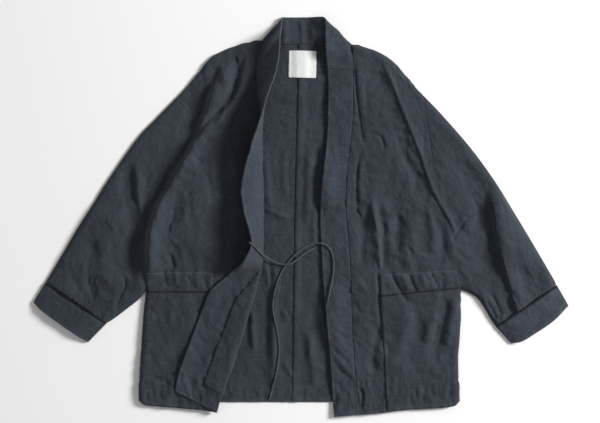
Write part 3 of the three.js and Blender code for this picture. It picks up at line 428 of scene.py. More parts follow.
# %% Finer creases: rise, width, lean, path
FINE_FOLDS = [
    (-3.5, 4, 0, [[-139, 340], [-134, 318], [-131, 300]]),
    (-2.6, 4, 0, [[-118, 342], [-124, 322], [-130, 300]]),
    (-4, 5, -0.2, [[-131, 302], [-143, 262], [-162, 236], [-195, 200], [-222, 168]]),
    (3.5, 6, 0.3, [[-122, 310], [-134, 258], [-158, 222], [-182, 186]]),
    (-2.7, 4, 0, [[-223, 130], [-214, 119], [-205, 113]]),
    (-8, 28, -0.3, [[-192, 322], [-209, 276], [-226, 228], [-250, 166], [-282, 112], [-310, 60], [-332, 4],
                    [-343, -60], [-343, -130]]),
    (18, 14, 0.4, [[-164, 326], [-174, 286], [-195, 225], [-217, 165], [-247, 109], [-277, 62], [-307, 2],
                   [-314, -42], [-316, -100], [-317, -150]]),
    (3.8, 5, 0, [[-293, -58], [-286, -80], [-278, -99]]),
    (-3.5, 4, 0, [[-273, -74], [-269, -92], [-265, -112]]),
    (-2.7, 4, 0, [[-272, 26], [-266, 4], [-275, -18], [-279, -38]]),
    (2.4, 6, 0, [[-246, 62], [-240, 20], [-248, -20]]),
    (-2.1, 6, 0, [[-196, 96], [-190, 60], [-186, 20]]),
    (-3.7, 4, 0, [[-289, -108], [-285, -130], [-279, -152]]),
    (-3, 4, 0, [[-237, -118], [-234, -136], [-230, -152]]),
    (-3, 4, 0, [[-203, -120], [-200, -140], [-197, -154]]),
    (2.6, 5, 0, [[-262, -108], [-261, -128], [-262, -148]]),
    (2.4, 5, 0, [[-219, -110], [-217, -130], [-217, -150]]),
    (-2.2, 5, 0, [[-332, -330], [-300, -338], [-270, -352]]),
    (1.6, 14, 0, [[-232, -170], [-228, -250], [-240, -330]]),
    (-1.8, 12, 0, [[-204, -165], [-206, -240], [-214, -310]]),
    (-1.9, 5, 0, [[-320, -190], [-300, -205], [-282, -200]]),
    (-5.4, 13, 0, [[-360, 128], [-364, 81], [-357, 35], [-348, -15], [-346, -58], [-352, -98], [-366, -140]]),
    (8, 22, -0.1, [[-318, 0], [-318, -50], [-322, -90], [-334, -130], [-348, -164]]),
    (5.2, 11, 0.2, [[-343, 128], [-346, 74], [-338, 25], [-328, -22]]),
    (-2.9, 11, 0, [[-434, -30], [-443, -110], [-432, -168]]),
    (2.2, 13, 0, [[-412, -36], [-410, -105], [-402, -160]]),
    (2.6, 4, 0, [[-408, -5], [-398, -16], [-388, -28]]),
    (-2.4, 4, 0, [[-392, -200], [-378, -166], [-368, -141], [-374, -118]]),
    (1.6, 7, 0, [[-400, -184], [-388, -150], [-384, -120]]),
    (-2.4, 3.6, 0, [[-441, -118], [-446, -138], [-436, -172]]),
    (-1.8, 4, 0, [[-482, -124], [-472, -140], [-462, -160]]),
    (1.6, 6, 0, [[-430, -130], [-424, -155], [-416, -180]]),
    (-3.0, 7, 0, [[194, 192], [214, 135], [234, 96], [250, 66]]),
    (3.8, 7, 0, [[113, 334], [118, 267], [122, 214], [130, 162], [136, 130]]),
    (4, 10, 0, [[124, 151], [120, 109], [120, 36], [126, -38]]),
    (-3, 2.4, 0, [[111, 338], [116, 262], [125, 190], [133, 144]]),
    (1.4, 7, 0, [[120, 330], [125, 262], [134, 200]]),
    (-3.6, 2.6, 0, [[123, 145], [116, 71], [118, 17], [116, 4]]),
    (2, 5, 0, [[129, 130], [124, 71], [126, 24]]),
    (-7.5, 12, 0, [[166, 330], [187, 288], [208, 235], [229, 183], [246, 141], [260, 99], [275, 57],
                   [292, 25], [307, -17], [317, -59], [326, -100]]),
    (-3.8, 3, 0, [[108, 18], [117, 14], [127, -2]]),
    (-4.4, 3.4, 0, [[136, 180], [168, 168], [175, 136]]),
    (4.2, 4, 0.2, [[150, 18], [162, -42], [166, -118]]),
    (-3.5, 4, 0, [[160, -20], [168, -66], [172, -112]]),
    (-2.6, 4, 0, [[171, -6], [176, -24], [173, -44]]),
    (-3.2, 7, 0, [[211, 190], [219, 160], [217, 134]]),
    (-3.5, 8, 0, [[233, 99], [258, 70], [262, 40], [250, 20]]),
    (-3.8, 8, 0, [[146, 40], [137, 4], [128, -40], [126, -80], [128, -122]]),
    (-3, 7, 0, [[205, 10], [201, -30], [203, -78]]),
    (-3, 8, 0, [[292, -4], [297, -58], [290, -116]]),
    (2.7, 7, 0, [[264, 30], [276, -30], [272, -90]]),
    (-2.6, 4, 0, [[225, -58], [229, -72], [234, -88]]),
    (-5.4, 4.5, 0, [[186, -110], [199, -140], [212, -163], [229, -188]]),
    (-4.8, 4, 0, [[226, -116], [233, -136], [241, -162]]),
    (-4.2, 4, 0, [[270, -114], [279, -132], [289, -154]]),
    (-2.9, 5, 0, [[296, -114], [299, -132], [297, -152]]),
    (3.2, 5, 0, [[211, -116], [219, -134], [226, -154]]),
    (3.2, 5, 0, [[250, -116], [257, -134], [264, -154]]),
    (-5.4, 11, 0, [[304, -160], [296, -215], [282, -268], [278, -296]]),
    (5, 10, 0, [[323, -162], [315, -220], [301, -275]]),
    (3.5, 9, 0, [[290, -196], [274, -232], [258, -268]]),
    (-2.6, 11, 0, [[256, -196], [228, -252], [202, -322]]),
    (-5.7, 8, 0, [[166, -222], [157, -260], [149, -296], [155, -334]]),
    (-3.8, 4, 0, [[160, -112], [163, -160], [167, -236]]),
    (-2.6, 4.5, 0, [[64, -270], [84, -292], [104, -308]]),
    (-2.6, 4.5, 0, [[72, -312], [90, -328], [108, -342]]),
    (2.2, 5, 0, [[70, -292], [88, -310], [106, -326]]),
    (-2.1, 4, 0, [[66, -236], [84, -246], [98, -262]]),
    (-2.1, 4, 0, [[84, -118], [91, -126], [99, -134]]),
    (-4.2, 4, 0, [[117, -352], [128, -370], [127, -392], [124, -408]]),
    (-5, 17, -0.2, [[336, 142], [350, 94], [372, 54], [380, 12], [374, -40], [380, -95], [396, -140],
                    [408, -190]]),
    (9.5, 14, 0.7, [[392, 62], [404, 14], [410, -45], [426, -104], [440, -150], [450, -190], [458, -222]]),
    (3, 13, 0, [[338, -158], [366, -170], [392, -192], [410, -234]]),
    (-2.8, 2.6, 0, [[316, -50], [334, -22], [346, -8]]),
    (-4, 2.6, 0, [[340, -6], [366, 8], [401, 32]]),
    (1.8, 7, 0, [[332, -40], [356, -12], [380, 4]]),
    (-3.8, 4, 0, [[386, -172], [402, -200], [410, -216]]),
    (-2.6, 4, 0, [[398, -160], [412, -188], [420, -206]]),
    (1.9, 12, 0, [[440, -20], [466, -76], [488, -130]]),
    (-1.7, 10, 0, [[352, 170], [380, 116], [404, 70]]),
    (-2.2, 4, 0, [[436, -150], [446, -166], [452, -178]]),
    (3.6, 4, 0.5, [[160, 338], [187, 288], [208, 235], [229, 183], [246, 141], [260, 99], [275, 57],
                   [298, 15], [319, -23], [330, -80]]),
]
print("finer creases:", len(FINE_FOLDS))

# %% [markdown]
# The wearer's right front turns over at its edge. High up only the band stands on its seam, lower down
# the front itself folds back like a lapel. Each row of the table is one section through that edge.
# %% The turned edge
# y, outermost x, radius of the turn, tilt of what follows, its bow, width turned back, heading
TURN = [
    [420, -84, 2.5, 40, 0, 1, 0],
    [366, -84, 2.5, 45, 4, 1, 0],
    [309, -91, 2.5, 44, 8, 1, 0],
    [256, -89, 2.5, 70, 20, 1, 0],
    [204, -84, 2.5, 92, 28, 1, 0],
    [141, -82, 2.5, 114, 34, 1, 0],
    [67, -81, 2.5, 138, 34, 1, 0],
    [15, -81, 2.5, 132, 34, 1, 0],
    [-52, -80, 2.5, 114, 36, 1, 0],
    [-94, -79, 4, 134, 30, 2, 0],
    [-122, -85, 6, 160, 14, 8, 3],
    [-160, -96, 6.5, 176, 2, 20, 13],
    [-195, -107, 6.5, 180, 0, 29, 22],
    [-269, -128, 6.5, 180, 0, 37, 26],
    [-363, -160, 6, 180, 0, 40, 27],
    [-410, -174, 5, 180, 0, 39, 27],
]
LAPEL_LIFT = 8  # of the turned-back cloth above the cloth that it lies on
LYING_FROM = 125  # tilt from which it begins to lie on the front
LYING_OVER = 45  # further degrees after which it lies on it all over
ARC_STEPS = 8
TURNED_STEPS = 10
BAND_STEPS = 19


def turn_at(y):
    """The table's other columns at each height of the garment."""
    return np.moveaxis(on_curve(TURN, place_at(TURN, 0, y)), -1, 0)[1:]


def foot_x(y):
    """Where the front stops lying flat and the turn begins."""
    crest, radius = turn_at(y)[:2]
    return crest - radius


print("the turn begins at x =", foot_x(np.array([300.0, 0.0, -300.0])).round(1))

# %% [markdown]
# ## Height of the upper cloth
# The upper cloth lies a few millimetres over the lower one and rounds down to the garment's outline. The
# creases are added to that, and a soft stop keeps the deepest troughs clear of the cloth below.
# %% Loft
OUTLINE_STEPS = 16
outlines = [
    pace(half[name], np.linspace(0, 1, OUTLINE_STEPS + 1))
    for half in (RIGHT, LEFT)
    for name in ("shoulder", "sleeve_top", "sleeve_under", "side")
]
LOWEST = 2.6  # the deepest troughs stop here
SOFT_STOP = 3.0


def loft(x, y):
    """Height of the upper cloth's centre above the floor."""
    x, y = np.broadcast_arrays(np.asarray(x, float), np.asarray(y, float))
    edge = np.full(x.shape, float(EDGE_ROUND))
    for line in outlines:
        near = (x > line[:, 0].min() - EDGE_ROUND) & (x < line[:, 0].max() + EDGE_ROUND)
        near &= (y > line[:, 1].min() - EDGE_ROUND) & (y < line[:, 1].max() + EDGE_ROUND)
        if near.any():
            edge[near] = np.minimum(edge[near], along_path(line, x[near], y[near])[0])
    inward = 1 - (1 - edge / EDGE_ROUND) ** 2
    folded = fold_height(FOLDS, x, y) + fold_height(FINE_FOLDS, x, y)
    over = LOFT + folded - LOWEST
    over = (over + np.sqrt(over ** 2 + SOFT_STOP ** 2)) / 2
    return mix(EDGE_LOFT, LOWEST + over, inward)


print("height at the chest:", float(loft(-180, 100).round(1)), "mm")

# %% [markdown]
# ## From a grid of points to cloth
# Every piece of cloth is a grid of centre points. Offsetting them to both sides along the surface's own
# direction gives the two faces, and a rounded rim joins them. The grid's own lengths become the UV map,
# so that the weave follows the piece, and an attribute marks the worn edges.
# %% Directions
TINY = 1e-9  # keeps a length from being zero


def unit(v):
    return v / np.maximum(np.linalg.norm(v, axis=-1, keepdims=True), TINY)


def steps_between(grid, axis, closed=False):
    """From each point's neighbour before it to its neighbour after it. A closed grid has no ends."""
    if closed:
        return np.roll(grid, -1, axis) - np.roll(grid, 1, axis)
    count = grid.shape[axis]
    before = np.take(grid, [0, *range(count - 1)], axis)
    after = np.take(grid, [*range(1, count), count - 1], axis)
    return after - before


def directions(grid, closed=False):
    """Unit vectors out of the outer face: upwards for open cloth, away from the middle for a tube."""
    n = unit(np.cross(steps_between(grid, 0), steps_between(grid, 1, closed)))
    if closed:
        return n if ((grid - grid.mean(1, keepdims=True)) * n).sum() > 0 else -n
    return n if n[..., 2].mean() > 0 else -n


def add_height(grid, height, closed=False):
    return grid + directions(grid, closed) * height[..., None]


tilted = np.array([[[0, 0, 0], [1, 0, 1]], [[0, 1, 0], [1, 1, 1]]], float)
print("out of a sheet tilted by 45 degrees:", directions(tilted)[0, 0].round(3))

# %% [markdown]
# Lengths walked along the grid tell how far each point is from each edge. Within a few millimetres of an
# edge the dye has rubbed off, and the attribute `wear` says how much.
# %% Lengths and wear
RIM_INSET = 0.25  # mm by which a wall's two faces stop short of its rim
WEAR_REACH = 3.5


def pulled_in(grid, distance, closed):
    """The grid with its outermost rows, and columns if it is open, moved inwards."""
    out = grid.copy()
    out[0] += unit(grid[1] - grid[0]) * distance
    out[-1] += unit(grid[-2] - grid[-1]) * distance
    if not closed:
        out[:, 0] += unit(grid[:, 1] - grid[:, 0]) * distance
        out[:, -1] += unit(grid[:, -2] - grid[:, -1]) * distance
    return out


def travelled(grid, axis, closed=False):
    """Length walked along the grid from its first row or column, in mm."""
    if closed:
        grid = np.concatenate([grid, grid[:, :1]], 1)
    steps = np.linalg.norm(np.diff(grid, axis=axis), axis=-1)
    return np.insert(np.cumsum(steps, axis), 0, 0, axis)


def from_bottom(grid):
    """Length walked along the grid from its last row, in mm."""
    return travelled(grid[::-1], 0)[::-1]


def edge_wear(across, along, worn):
    """1 at the edges named in `worn` and fading away from them."""
    wear = np.zeros(across.shape)
    places = {
        "top": along, "bottom": along[-1:] - along,
        "first": across, "last": across[:, -1:] - across,
    }
    for name in worn:
        wear = np.maximum(wear, np.exp(-places[name] / WEAR_REACH))
    return wear


print("wear at 0, 3 and 6 mm:", np.exp(-np.arange(0, 9, 3) / WEAR_REACH).round(2))

# %% [markdown]
# The faces of a wall are numbered row by row, first the outer one and then the inner one. A loop of points
# on the centre surface follows each open edge, and two strips of faces join it to both sides.
# %% Walls
made = {}  # every piece's grid, thickness and closedness, for the stitches


def rim_loops(rows, columns, closed):
    """Rows and columns along the grid's open edges, each a loop that ends where it began."""
    if closed:
        around = np.arange(columns + 1)
        return [(around * 0, around), (around * 0 + rows - 1, around[::-1])]
    down, over = np.arange(rows), np.arange(columns)
    return [(
        np.concatenate([over * 0, down[1:], over[:-1] * 0 + rows - 1, down[:-1][::-1]]),
        np.concatenate([over, down[1:] * 0 + columns - 1, over[:-1][::-1], down[:-1] * 0]),
    )]


def cloth_object(name, points, faces, uvs, wear, material):
    mesh = bpy.data.meshes.new(name)
    mesh.from_pydata(points * MM, [], faces.tolist())
    mesh.uv_layers.new(name="grain").data.foreach_set("uv", (uvs * MM).ravel())
    mesh.attributes.new("wear", "FLOAT", "POINT").data.foreach_set("value", wear)
    mesh.polygons.foreach_set("use_smooth", np.ones(len(faces), bool))
    mesh.materials.append(material)
    piece = bpy.data.objects.new(name, mesh)
    bpy.context.scene.collection.objects.link(piece)
    return piece


def cloth(name, grid, material, thickness=CLOTH, closed=False, worn=("top", "bottom", "first", "last")):
    """One piece of cloth as a closed wall, with the UV map `grain` and the attribute `wear`."""
    rows, columns = grid.shape[:2]
    n = directions(grid, closed)
    short = pulled_in(grid, RIM_INSET, closed)
    across, along = travelled(grid, 1, closed), travelled(grid, 0)
    if closed:
        along = np.concatenate([along, along[:, :1]], 1)
    wear = edge_wear(across, along, worn)

    # The two faces
    r, c = (a.ravel() for a in np.meshgrid(
        np.arange(rows - 1), np.arange(columns if closed else columns - 1), indexing="ij"))
    corner_r, corner_c = np.stack([r, r + 1, r + 1, r], 1), np.stack([c, c, c + 1, c + 1], 1)
    index = corner_r * columns + corner_c % columns
    uv = np.stack([across[corner_r, corner_c], along[corner_r, corner_c]], -1)
    inner = rows * columns  # number of the inner face's first point
    faces, uvs = [index, index[:, ::-1] + inner], [uv, uv[:, ::-1]]
    points = [(short + n * side * thickness / 2).reshape(-1, 3) for side in (1, -1)]
    worn_share = [wear[:, :columns].ravel()] * 2

    # The rims
    start, a, b = 2 * inner, slice(None, -1), slice(1, None)
    for rim_r, rim_c in rim_loops(rows, columns, closed):
        at = rim_r * columns + rim_c % columns
        mid = start + np.arange(len(at) - 1)
        mid = np.append(mid, mid[0])
        start += len(at) - 1
        rim_uv = np.stack([across[rim_r, rim_c], along[rim_r, rim_c]], -1)
        faces += [
            np.stack([at[a], at[b], mid[b], mid[a]], 1),
            np.stack([mid[a], mid[b], at[b] + inner, at[a] + inner], 1),
        ]
        uvs += [np.stack([rim_uv[a], rim_uv[b], rim_uv[b], rim_uv[a]], 1)] * 2
        points.append(grid[rim_r[a], rim_c[a] % columns])
        worn_share.append(wear[rim_r[a], rim_c[a]])

    points, faces, uvs = np.concatenate(points), np.concatenate(faces), np.concatenate(uvs)
    corner, down, over = (points[index[:, k]] for k in (0, 1, 3))
    normal = np.cross(down - corner, over - corner)
    if (normal * n.reshape(-1, 3)[index[:, 0]]).sum() <= 0:
        faces, uvs = faces[:, ::-1], uvs[:, ::-1]
    made[name] = (grid, thickness, closed)
    area = np.linalg.norm(normal, axis=-1).sum() * MM ** 2
    print(f"{name}: {2 * len(faces)} triangles, {area:.3f} square metres")
    return cloth_object(name, points, faces, uvs, np.concatenate(worn_share), material)


def takes_place(piece, node):
    """Puts a piece in the place of a solid, and hides the solid."""
    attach(piece, "root")
    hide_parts(node)


def sew(name, grid, material, slot="indigo_cloth", **wall):
    """Makes a piece of cloth and puts it in the place of the solid of its name."""
    takes_place(cloth(name, grid, material, **wall), name)


# %% [markdown]
# ## Cotton
# The cloth is a plain weave of indigo cotton, faded unevenly and paler where edges rub. Two bands of
# waves on the UV map make warp and weft. Noise drawn out along the yarns makes some thicker and paler.
# The helpers below add a node and join it up, whether a value is a number or comes from another node.
# %% Node helpers
def link_nodes(tree, kind, **inputs):
    """A new node with its inputs set by name, an underscore for each space."""
    node = tree.nodes.new(kind)
    for name, value in inputs.items():
        socket = node.inputs[name.replace("_", " ")]
        if hasattr(value, "is_output"):
            tree.links.new(value, socket)
        else:
            socket.default_value = value
    return node


def maths(tree, operation, a, b=0.0):
    """The result of one sum or product of two values."""
    node = tree.nodes.new("ShaderNodeMath")
    node.operation = operation
    for socket, value in zip(node.inputs, (a, b)):
        if hasattr(value, "is_output"):
            tree.links.new(value, socket)
        else:
            socket.default_value = value
    return node.outputs[0]


def weighed(tree, *parts):
    """The sum of some values, each times its weight."""
    total = None
    for value, weight in parts:
        part = maths(tree, "MULTIPLY", value, weight)
        total = part if total is None else maths(tree, "ADD", total, part)
    return total


def ranged(tree, value, **limits):
    """A value taken from one range to another. A limit that isn't given is 0 or 1."""
    return link_nodes(tree, "ShaderNodeMapRange", Value=value, **limits).outputs["Result"]


def mapped(tree, source, scale, kind="ShaderNodeTexNoise", **inputs):
    """A texture on coordinates that are stretched first."""
    place = tree.nodes.new("ShaderNodeMapping")
    place.inputs["Scale"].default_value = scale
    tree.links.new(source, place.inputs["Vector"])
    return link_nodes(tree, kind, Vector=place.outputs["Vector"], **inputs)


def colour_mix(tree, share, first, second, blend="MIX"):
    """The first colour with a share of the second one."""
    node = tree.nodes.new("ShaderNodeMix")
    node.data_type = "RGBA"
    node.blend_type = blend
    for index, value in ((0, share), (6, first), (7, second)):
        if hasattr(value, "is_output"):
            tree.links.new(value, node.inputs[index])
        else:
            node.inputs[index].default_value = value
    return node.outputs[2]


helpers = (link_nodes, maths, weighed, ranged, mapped, colour_mix)
print("helpers:", [helper.__name__ for helper in helpers])

# %% [markdown]
# The colour is built in layers: dye that has faded in patches, pale flecks where a yarn is thick, pale
# edges where it is rubbed, and the shade between the yarns. The relief adds the same yarns to fine
# crumple that is too small for the mesh.
# %% Cotton
YARN_PITCH = 0.0009
SLUB_ALONG, SLUB_ACROSS = 30, 400  # waves per metre of the noise that thickens a yarn
SHEEN, SHEEN_ROUGHNESS = 0.12, 0.5
SPECULAR = 0.18
RELIEF_STEP = 0.001


def cotton(name, colour, faded, worn, wear_share=0.5, bump=0.35, yarn=YARN_PITCH):
    """A plain-woven cotton: base colour, the colour it fades to, and the colour where it has rubbed."""
    material = bpy.data.materials.new(name)
    material.use_nodes = True
    tree = material.node_tree
    shader = tree.nodes["Principled BSDF"]
    grain = link_nodes(tree, "ShaderNodeUVMap")
    grain.uv_map = "grain"
    uv = grain.outputs["UV"]
    place = tree.nodes.new("ShaderNodeTexCoord").outputs["Object"]
    wear = link_nodes(tree, "ShaderNodeAttribute")
    wear.attribute_name = "wear"

    def noise(scale, detail, roughness, distortion=0.0):
        return mapped(tree, place, (1, 1, 1), Scale=scale, Detail=detail, Roughness=roughness,
                      Distortion=distortion).outputs["Fac"]

    # Warp and weft
    waves, slubs = [], []
    for direction, slub in (("X", (SLUB_ACROSS, SLUB_ALONG, 1)), ("Y", (SLUB_ALONG, SLUB_ACROSS, 1))):
        wave = mapped(tree, uv, (1 / yarn,) * 3, "ShaderNodeTexWave", Scale=0.5, Distortion=0.6, Detail=1.0)
        wave.bands_direction = direction
        waves.append(wave.outputs["Fac"])
        slubs.append(mapped(tree, uv, slub, Scale=1.0, Detail=2.0).outputs["Fac"])
    weave = maths(tree, "MULTIPLY", *waves)
    slubs = maths(tree, "ADD", *slubs)

    # Colour
    mottle = noise(60.0, 3.0, 0.6)
    fading = weighed(tree, (noise(9.0, 4.0, 0.6), 0.7), (mottle, 0.3))
    fade = ranged(tree, fading, From_Min=0.38, From_Max=0.64)
    base = colour_mix(tree, fade, (*colour, 1), (*faded, 1))
    flecks = ranged(tree, slubs, From_Min=0.8, From_Max=1.35)
    base = colour_mix(tree, maths(tree, "MULTIPLY", flecks, 0.3), base, (*worn, 1))
    rubbed = maths(tree, "MULTIPLY", wear.outputs["Fac"], maths(tree, "MULTIPLY", mottle, 2 * wear_share))
    base = colour_mix(tree, rubbed, base, (*worn, 1))
    dark = ranged(tree, weave, To_Min=0.78, To_Max=1.12)
    shade = link_nodes(tree, "ShaderNodeCombineColor", Red=dark, Green=dark, Blue=dark).outputs["Color"]
    tree.links.new(colour_mix(tree, 1.0, base, shade, "MULTIPLY"), shader.inputs["Base Color"])
    tree.links.new(ranged(tree, slubs, To_Min=0.98, To_Max=0.84), shader.inputs["Roughness"])

    # Relief
    crumple = noise(150.0, 3.0, 0.55)
    rumples = noise(62.0, 2.0, 0.5, 0.8)
    height = weighed(tree, (weave, 0.16), (slubs, 0.25), (crumple, 2.4), (rumples, 6.0))
    relief = link_nodes(tree, "ShaderNodeBump", Strength=bump, Distance=RELIEF_STEP, Height=height)
    tree.links.new(relief.outputs["Normal"], shader.inputs["Normal"])
    shader.inputs["Sheen Weight"].default_value = SHEEN
    shader.inputs["Sheen Roughness"].default_value = SHEEN_ROUGHNESS
    shader.inputs["Specular IOR Level"].default_value = SPECULAR
    return material


indigo = cotton("indigo_cotton", (0.020, 0.0255, 0.033), (0.030, 0.038, 0.048), (0.075, 0.088, 0.108))
inside_cotton = cotton("indigo_cotton_inside", (0.0215, 0.0275, 0.0355), (0.0315, 0.040, 0.0505),
                       (0.075, 0.088, 0.104))
# The bands get a paler copy of the indigo: painted light, standing in for the extra lamp light the bands
# catch where they tilt towards it.
band_cotton_painted_light = cotton("indigo_cotton_band_painted_light", (0.023, 0.029, 0.038), (0.035, 0.044, 0.056), (0.08, 0.094, 0.115))
cuff_cotton = cotton("indigo_cotton_cuff", (0.028, 0.035, 0.045), (0.042, 0.053, 0.067), (0.09, 0.105, 0.13))
piping_cloth = cotton("dark_piping_cotton", (0.004, 0.005, 0.007), (0.007, 0.008, 0.011),
                      (0.02, 0.023, 0.028))
white_tape = cotton("label_tape", (0.80, 0.81, 0.79), (0.84, 0.85, 0.83), (0.9, 0.91, 0.89),
                    wear_share=0.2, bump=0.2, yarn=0.0006)
tie_cotton = cotton("tie_cotton", (0.048, 0.056, 0.068), (0.070, 0.082, 0.098), (0.13, 0.148, 0.17))
print("materials:", [m.name for m in bpy.data.materials])

# %% [markdown]
# ## Ties
# Each front has one narrow tie, about as thick as a bootlace. They are limp and of a set length, so each
# is a curve with a round section along a given route. The right one leaves the crest of the
# standing edge, comes down on the back and crosses over the left one. The left one leaves the flat
# band's free edge, turns over in an open arc and runs down to its free end.
# %% Ties
TIE_DIAMETER = 0.0035
TIE_RIGHT = [
    (-0.107, -0.052, 0.0616), (-0.102, -0.055, 0.0614), (-0.097, -0.059, 0.0574), (-0.092, -0.065, 0.0486),
    (-0.086, -0.072, 0.037), (-0.079, -0.079, 0.025), (-0.070, -0.086, 0.0145), (-0.059, -0.093, 0.0086),
    (-0.048, -0.098, 0.0078), (-0.036, -0.100, 0.0084), (-0.024, -0.099, 0.0082), (-0.013, -0.093, 0.0064),
    (-0.003, -0.084, 0.0058), (0.008, -0.076, 0.0046), (0.019, -0.069, 0.0049), (0.031, -0.064, 0.0054),
]
TIE_LEFT = [
    (0.055, -0.180, 0.0152), (0.058, -0.165, 0.0144), (0.063, -0.143, 0.0123), (0.067, -0.122, 0.0098),
    (0.069, -0.096, 0.0099), (0.066, -0.078, 0.0101), (0.061, -0.067, 0.0099), (0.053, -0.059, 0.0102),
    (0.045, -0.056, 0.0099), (0.038, -0.055, 0.0088), (0.032, -0.055, 0.0066), (0.025, -0.057, 0.0052),
    (0.014, -0.061, 0.0046), (-0.002, -0.069, 0.0042), (-0.013, -0.079, 0.0048), (-0.024, -0.091, 0.0041),
    (-0.034, -0.104, 0.0046), (-0.044, -0.120, 0.0062), (-0.052, -0.143, 0.0086), (-0.059, -0.174, 0.0086),
    (-0.059, -0.200, 0.0084), (-0.052, -0.227, 0.0095), (-0.047, -0.258, 0.0072), (-0.045, -0.280, 0.0066),
    (-0.048, -0.304, 0.0080), (-0.054, -0.340, 0.0078), (-0.061, -0.363, 0.0078), (-0.066, -0.381, 0.0055),
]


def tie(name, route):
    """A limp cord along its route, given in metres from the sewn end to the bare one."""
    curve = bpy.data.curves.new(name, "CURVE")
    curve.dimensions = "3D"
    curve.bevel_depth = TIE_DIAMETER / 2
    curve.bevel_resolution = 3
    curve.resolution_u = 8
    curve.use_fill_caps = True
    spline = curve.splines.new("NURBS")
    spline.points.add(len(route) - 1)
    spline.points.foreach_set("co", np.array([(*p, 1) for p in route]).ravel())
    spline.use_endpoint_u = True
    spline.order_u = 3
    curve.materials.append(tie_cotton)
    piece = bpy.data.objects.new(name, curve)
    bpy.context.scene.collection.objects.link(piece)
    takes_place(piece, name)


tie("tie_right", TIE_RIGHT)
tie("tie_left", TIE_LEFT)

# %% [markdown]
# ## Fronts
# A front is one grid from the shoulder to the hem. Its columns run from the armhole or side seam, past
# the pocket's inner edge, to the band. The rows come in three parts: down to the pocket's mouth, down to
# the foot of its piping, and down to the hem, so that the pocket's own lines are rows of the front.
# %% Plan of a front
POCKET_COLUMNS = 46
MIDDLE_COLUMNS = 28
FRONT_COLUMNS = POCKET_COLUMNS + MIDDLE_COLUMNS
UPPER_ROWS = 164
LOWER_ROWS = 43
HEM_ROWS = 80
MOUTH_ROW = UPPER_ROWS
FOOT_ROW = UPPER_ROWS + LOWER_ROWS
PIPING_ROW = UPPER_ROWS + round(LOWER_ROWS * (MOUTH_Y - PIPING_TOP_Y) / (MOUTH_Y - PIPING_BOTTOM_Y))


def across_front(outer, pocket, inner):
    """Each row's columns: outer edge to the pocket's inner edge, and on to the front's inner edge."""
    u = np.linspace(0, 1, POCKET_COLUMNS + 1)
    w = np.linspace(0, 1, MIDDLE_COLUMNS + 1)[1:]
    outer, pocket, inner = (np.atleast_1d(v)[:, None] for v in (outer, pocket, inner))
    return np.concatenate([mix(outer, pocket, u), mix(pocket, inner, w)], 1)


def upper_front(half, inner_x):
    """From the shoulder down to the pocket's mouth. The columns there move over to the pocket's lines."""
    columns = np.arange(FRONT_COLUMNS + 1) / FRONT_COLUMNS
    mouth_y = np.array([MOUTH_Y])
    mouth = across_front(x_at_y(half["armhole"], mouth_y), half["pocket_edge"][0][0], inner_x(mouth_y))[0]
    down = np.linspace(0, 1, UPPER_ROWS + 1)[:, None]
    u = mix(columns, (mouth - mouth[0]) / (mouth[-1] - mouth[0]), down)
    arm_y = mix(half["armhole"][0][1], MOUTH_Y, down[:, 0])
    left = np.stack([x_at_y(half["armhole"], arm_y), arm_y], -1)[:, None]
    edge_y = mix(TOP_Y, MOUTH_Y, down[:, 0])
    right = np.stack([inner_x(edge_y), edge_y], -1)[:, None]
    top = pace(half["shoulder"], u)
    straight = mix(np.array(half["shoulder"][0]), np.array(right[0, 0]), u[..., None])
    return mix(left, right, u[..., None]) + (1 - down)[..., None] * (top - straight)


def front_plan(half, inner_x):
    """Places of a front's grid seen from above. `inner_x` gives its inner edge at each height."""
    upper = upper_front(half, inner_x)
    y = np.linspace(MOUTH_Y, PIPING_BOTTOM_Y, LOWER_ROWS + 1)[1:]
    outer = np.where(y > UNDERARM_Y, x_at_y(half["armhole"], y), x_at_y(half["side"], y))
    xs = across_front(outer, x_at_y(half["pocket_edge"], y), inner_x(y))
    lower = np.stack([xs, np.broadcast_to(y[:, None], xs.shape)], -1)
    down = np.linspace(0, 1, HEM_ROWS + 1)[1:]
    y = mix(PIPING_BOTTOM_Y, INNER_HEM_Y, down)
    outer = x_at_y(half["side"], np.maximum(y, LOWEST_SEAM_Y))
    xs = across_front(outer, x_at_y(half["pocket_edge"], y), inner_x(y))
    hem = np.stack([xs, mix(PIPING_BOTTOM_Y, y_at_x(half["hem"], xs), down[:, None])], -1)
    return np.concatenate([upper, lower, hem])


print("columns and rows of a front:", FRONT_COLUMNS, UPPER_ROWS + LOWER_ROWS + HEM_ROWS)

# %% [markdown]
# The turned edge is walked step by step from the foot of the turn: round the arc, along the cloth that is
# turned back, over the seam and up the band, which bows. Where the tilt is large the cloth comes down on
# the front, and from there its height is that of the front below it.
# %% The turned edge in three dimensions
def edge_steps(radius, tilt, bow, turned):
    """Each step's length, its slope in degrees, and its share of settling on the cloth below."""
    lean = tilt - bow / 2
    chord = 2 * radius * np.sin(np.radians(lean / ARC_STEPS / 2))
    arc = [(chord, lean * (i + 0.5) / ARC_STEPS, None) for i in range(ARC_STEPS)]
    lapel = [(turned / TURNED_STEPS, lean, max(0, 3 * (i + 1) / TURNED_STEPS - 1) / 8)
             for i in range(TURNED_STEPS)]
    seam = [(BAND_GAP, lean, 3 / 8)]
    band = [(BAND_WIDTH / BAND_STEPS, lean + bow * (i + 0.5) / BAND_STEPS, 1) for i in range(BAND_STEPS)]
    return arc + lapel + seam + band


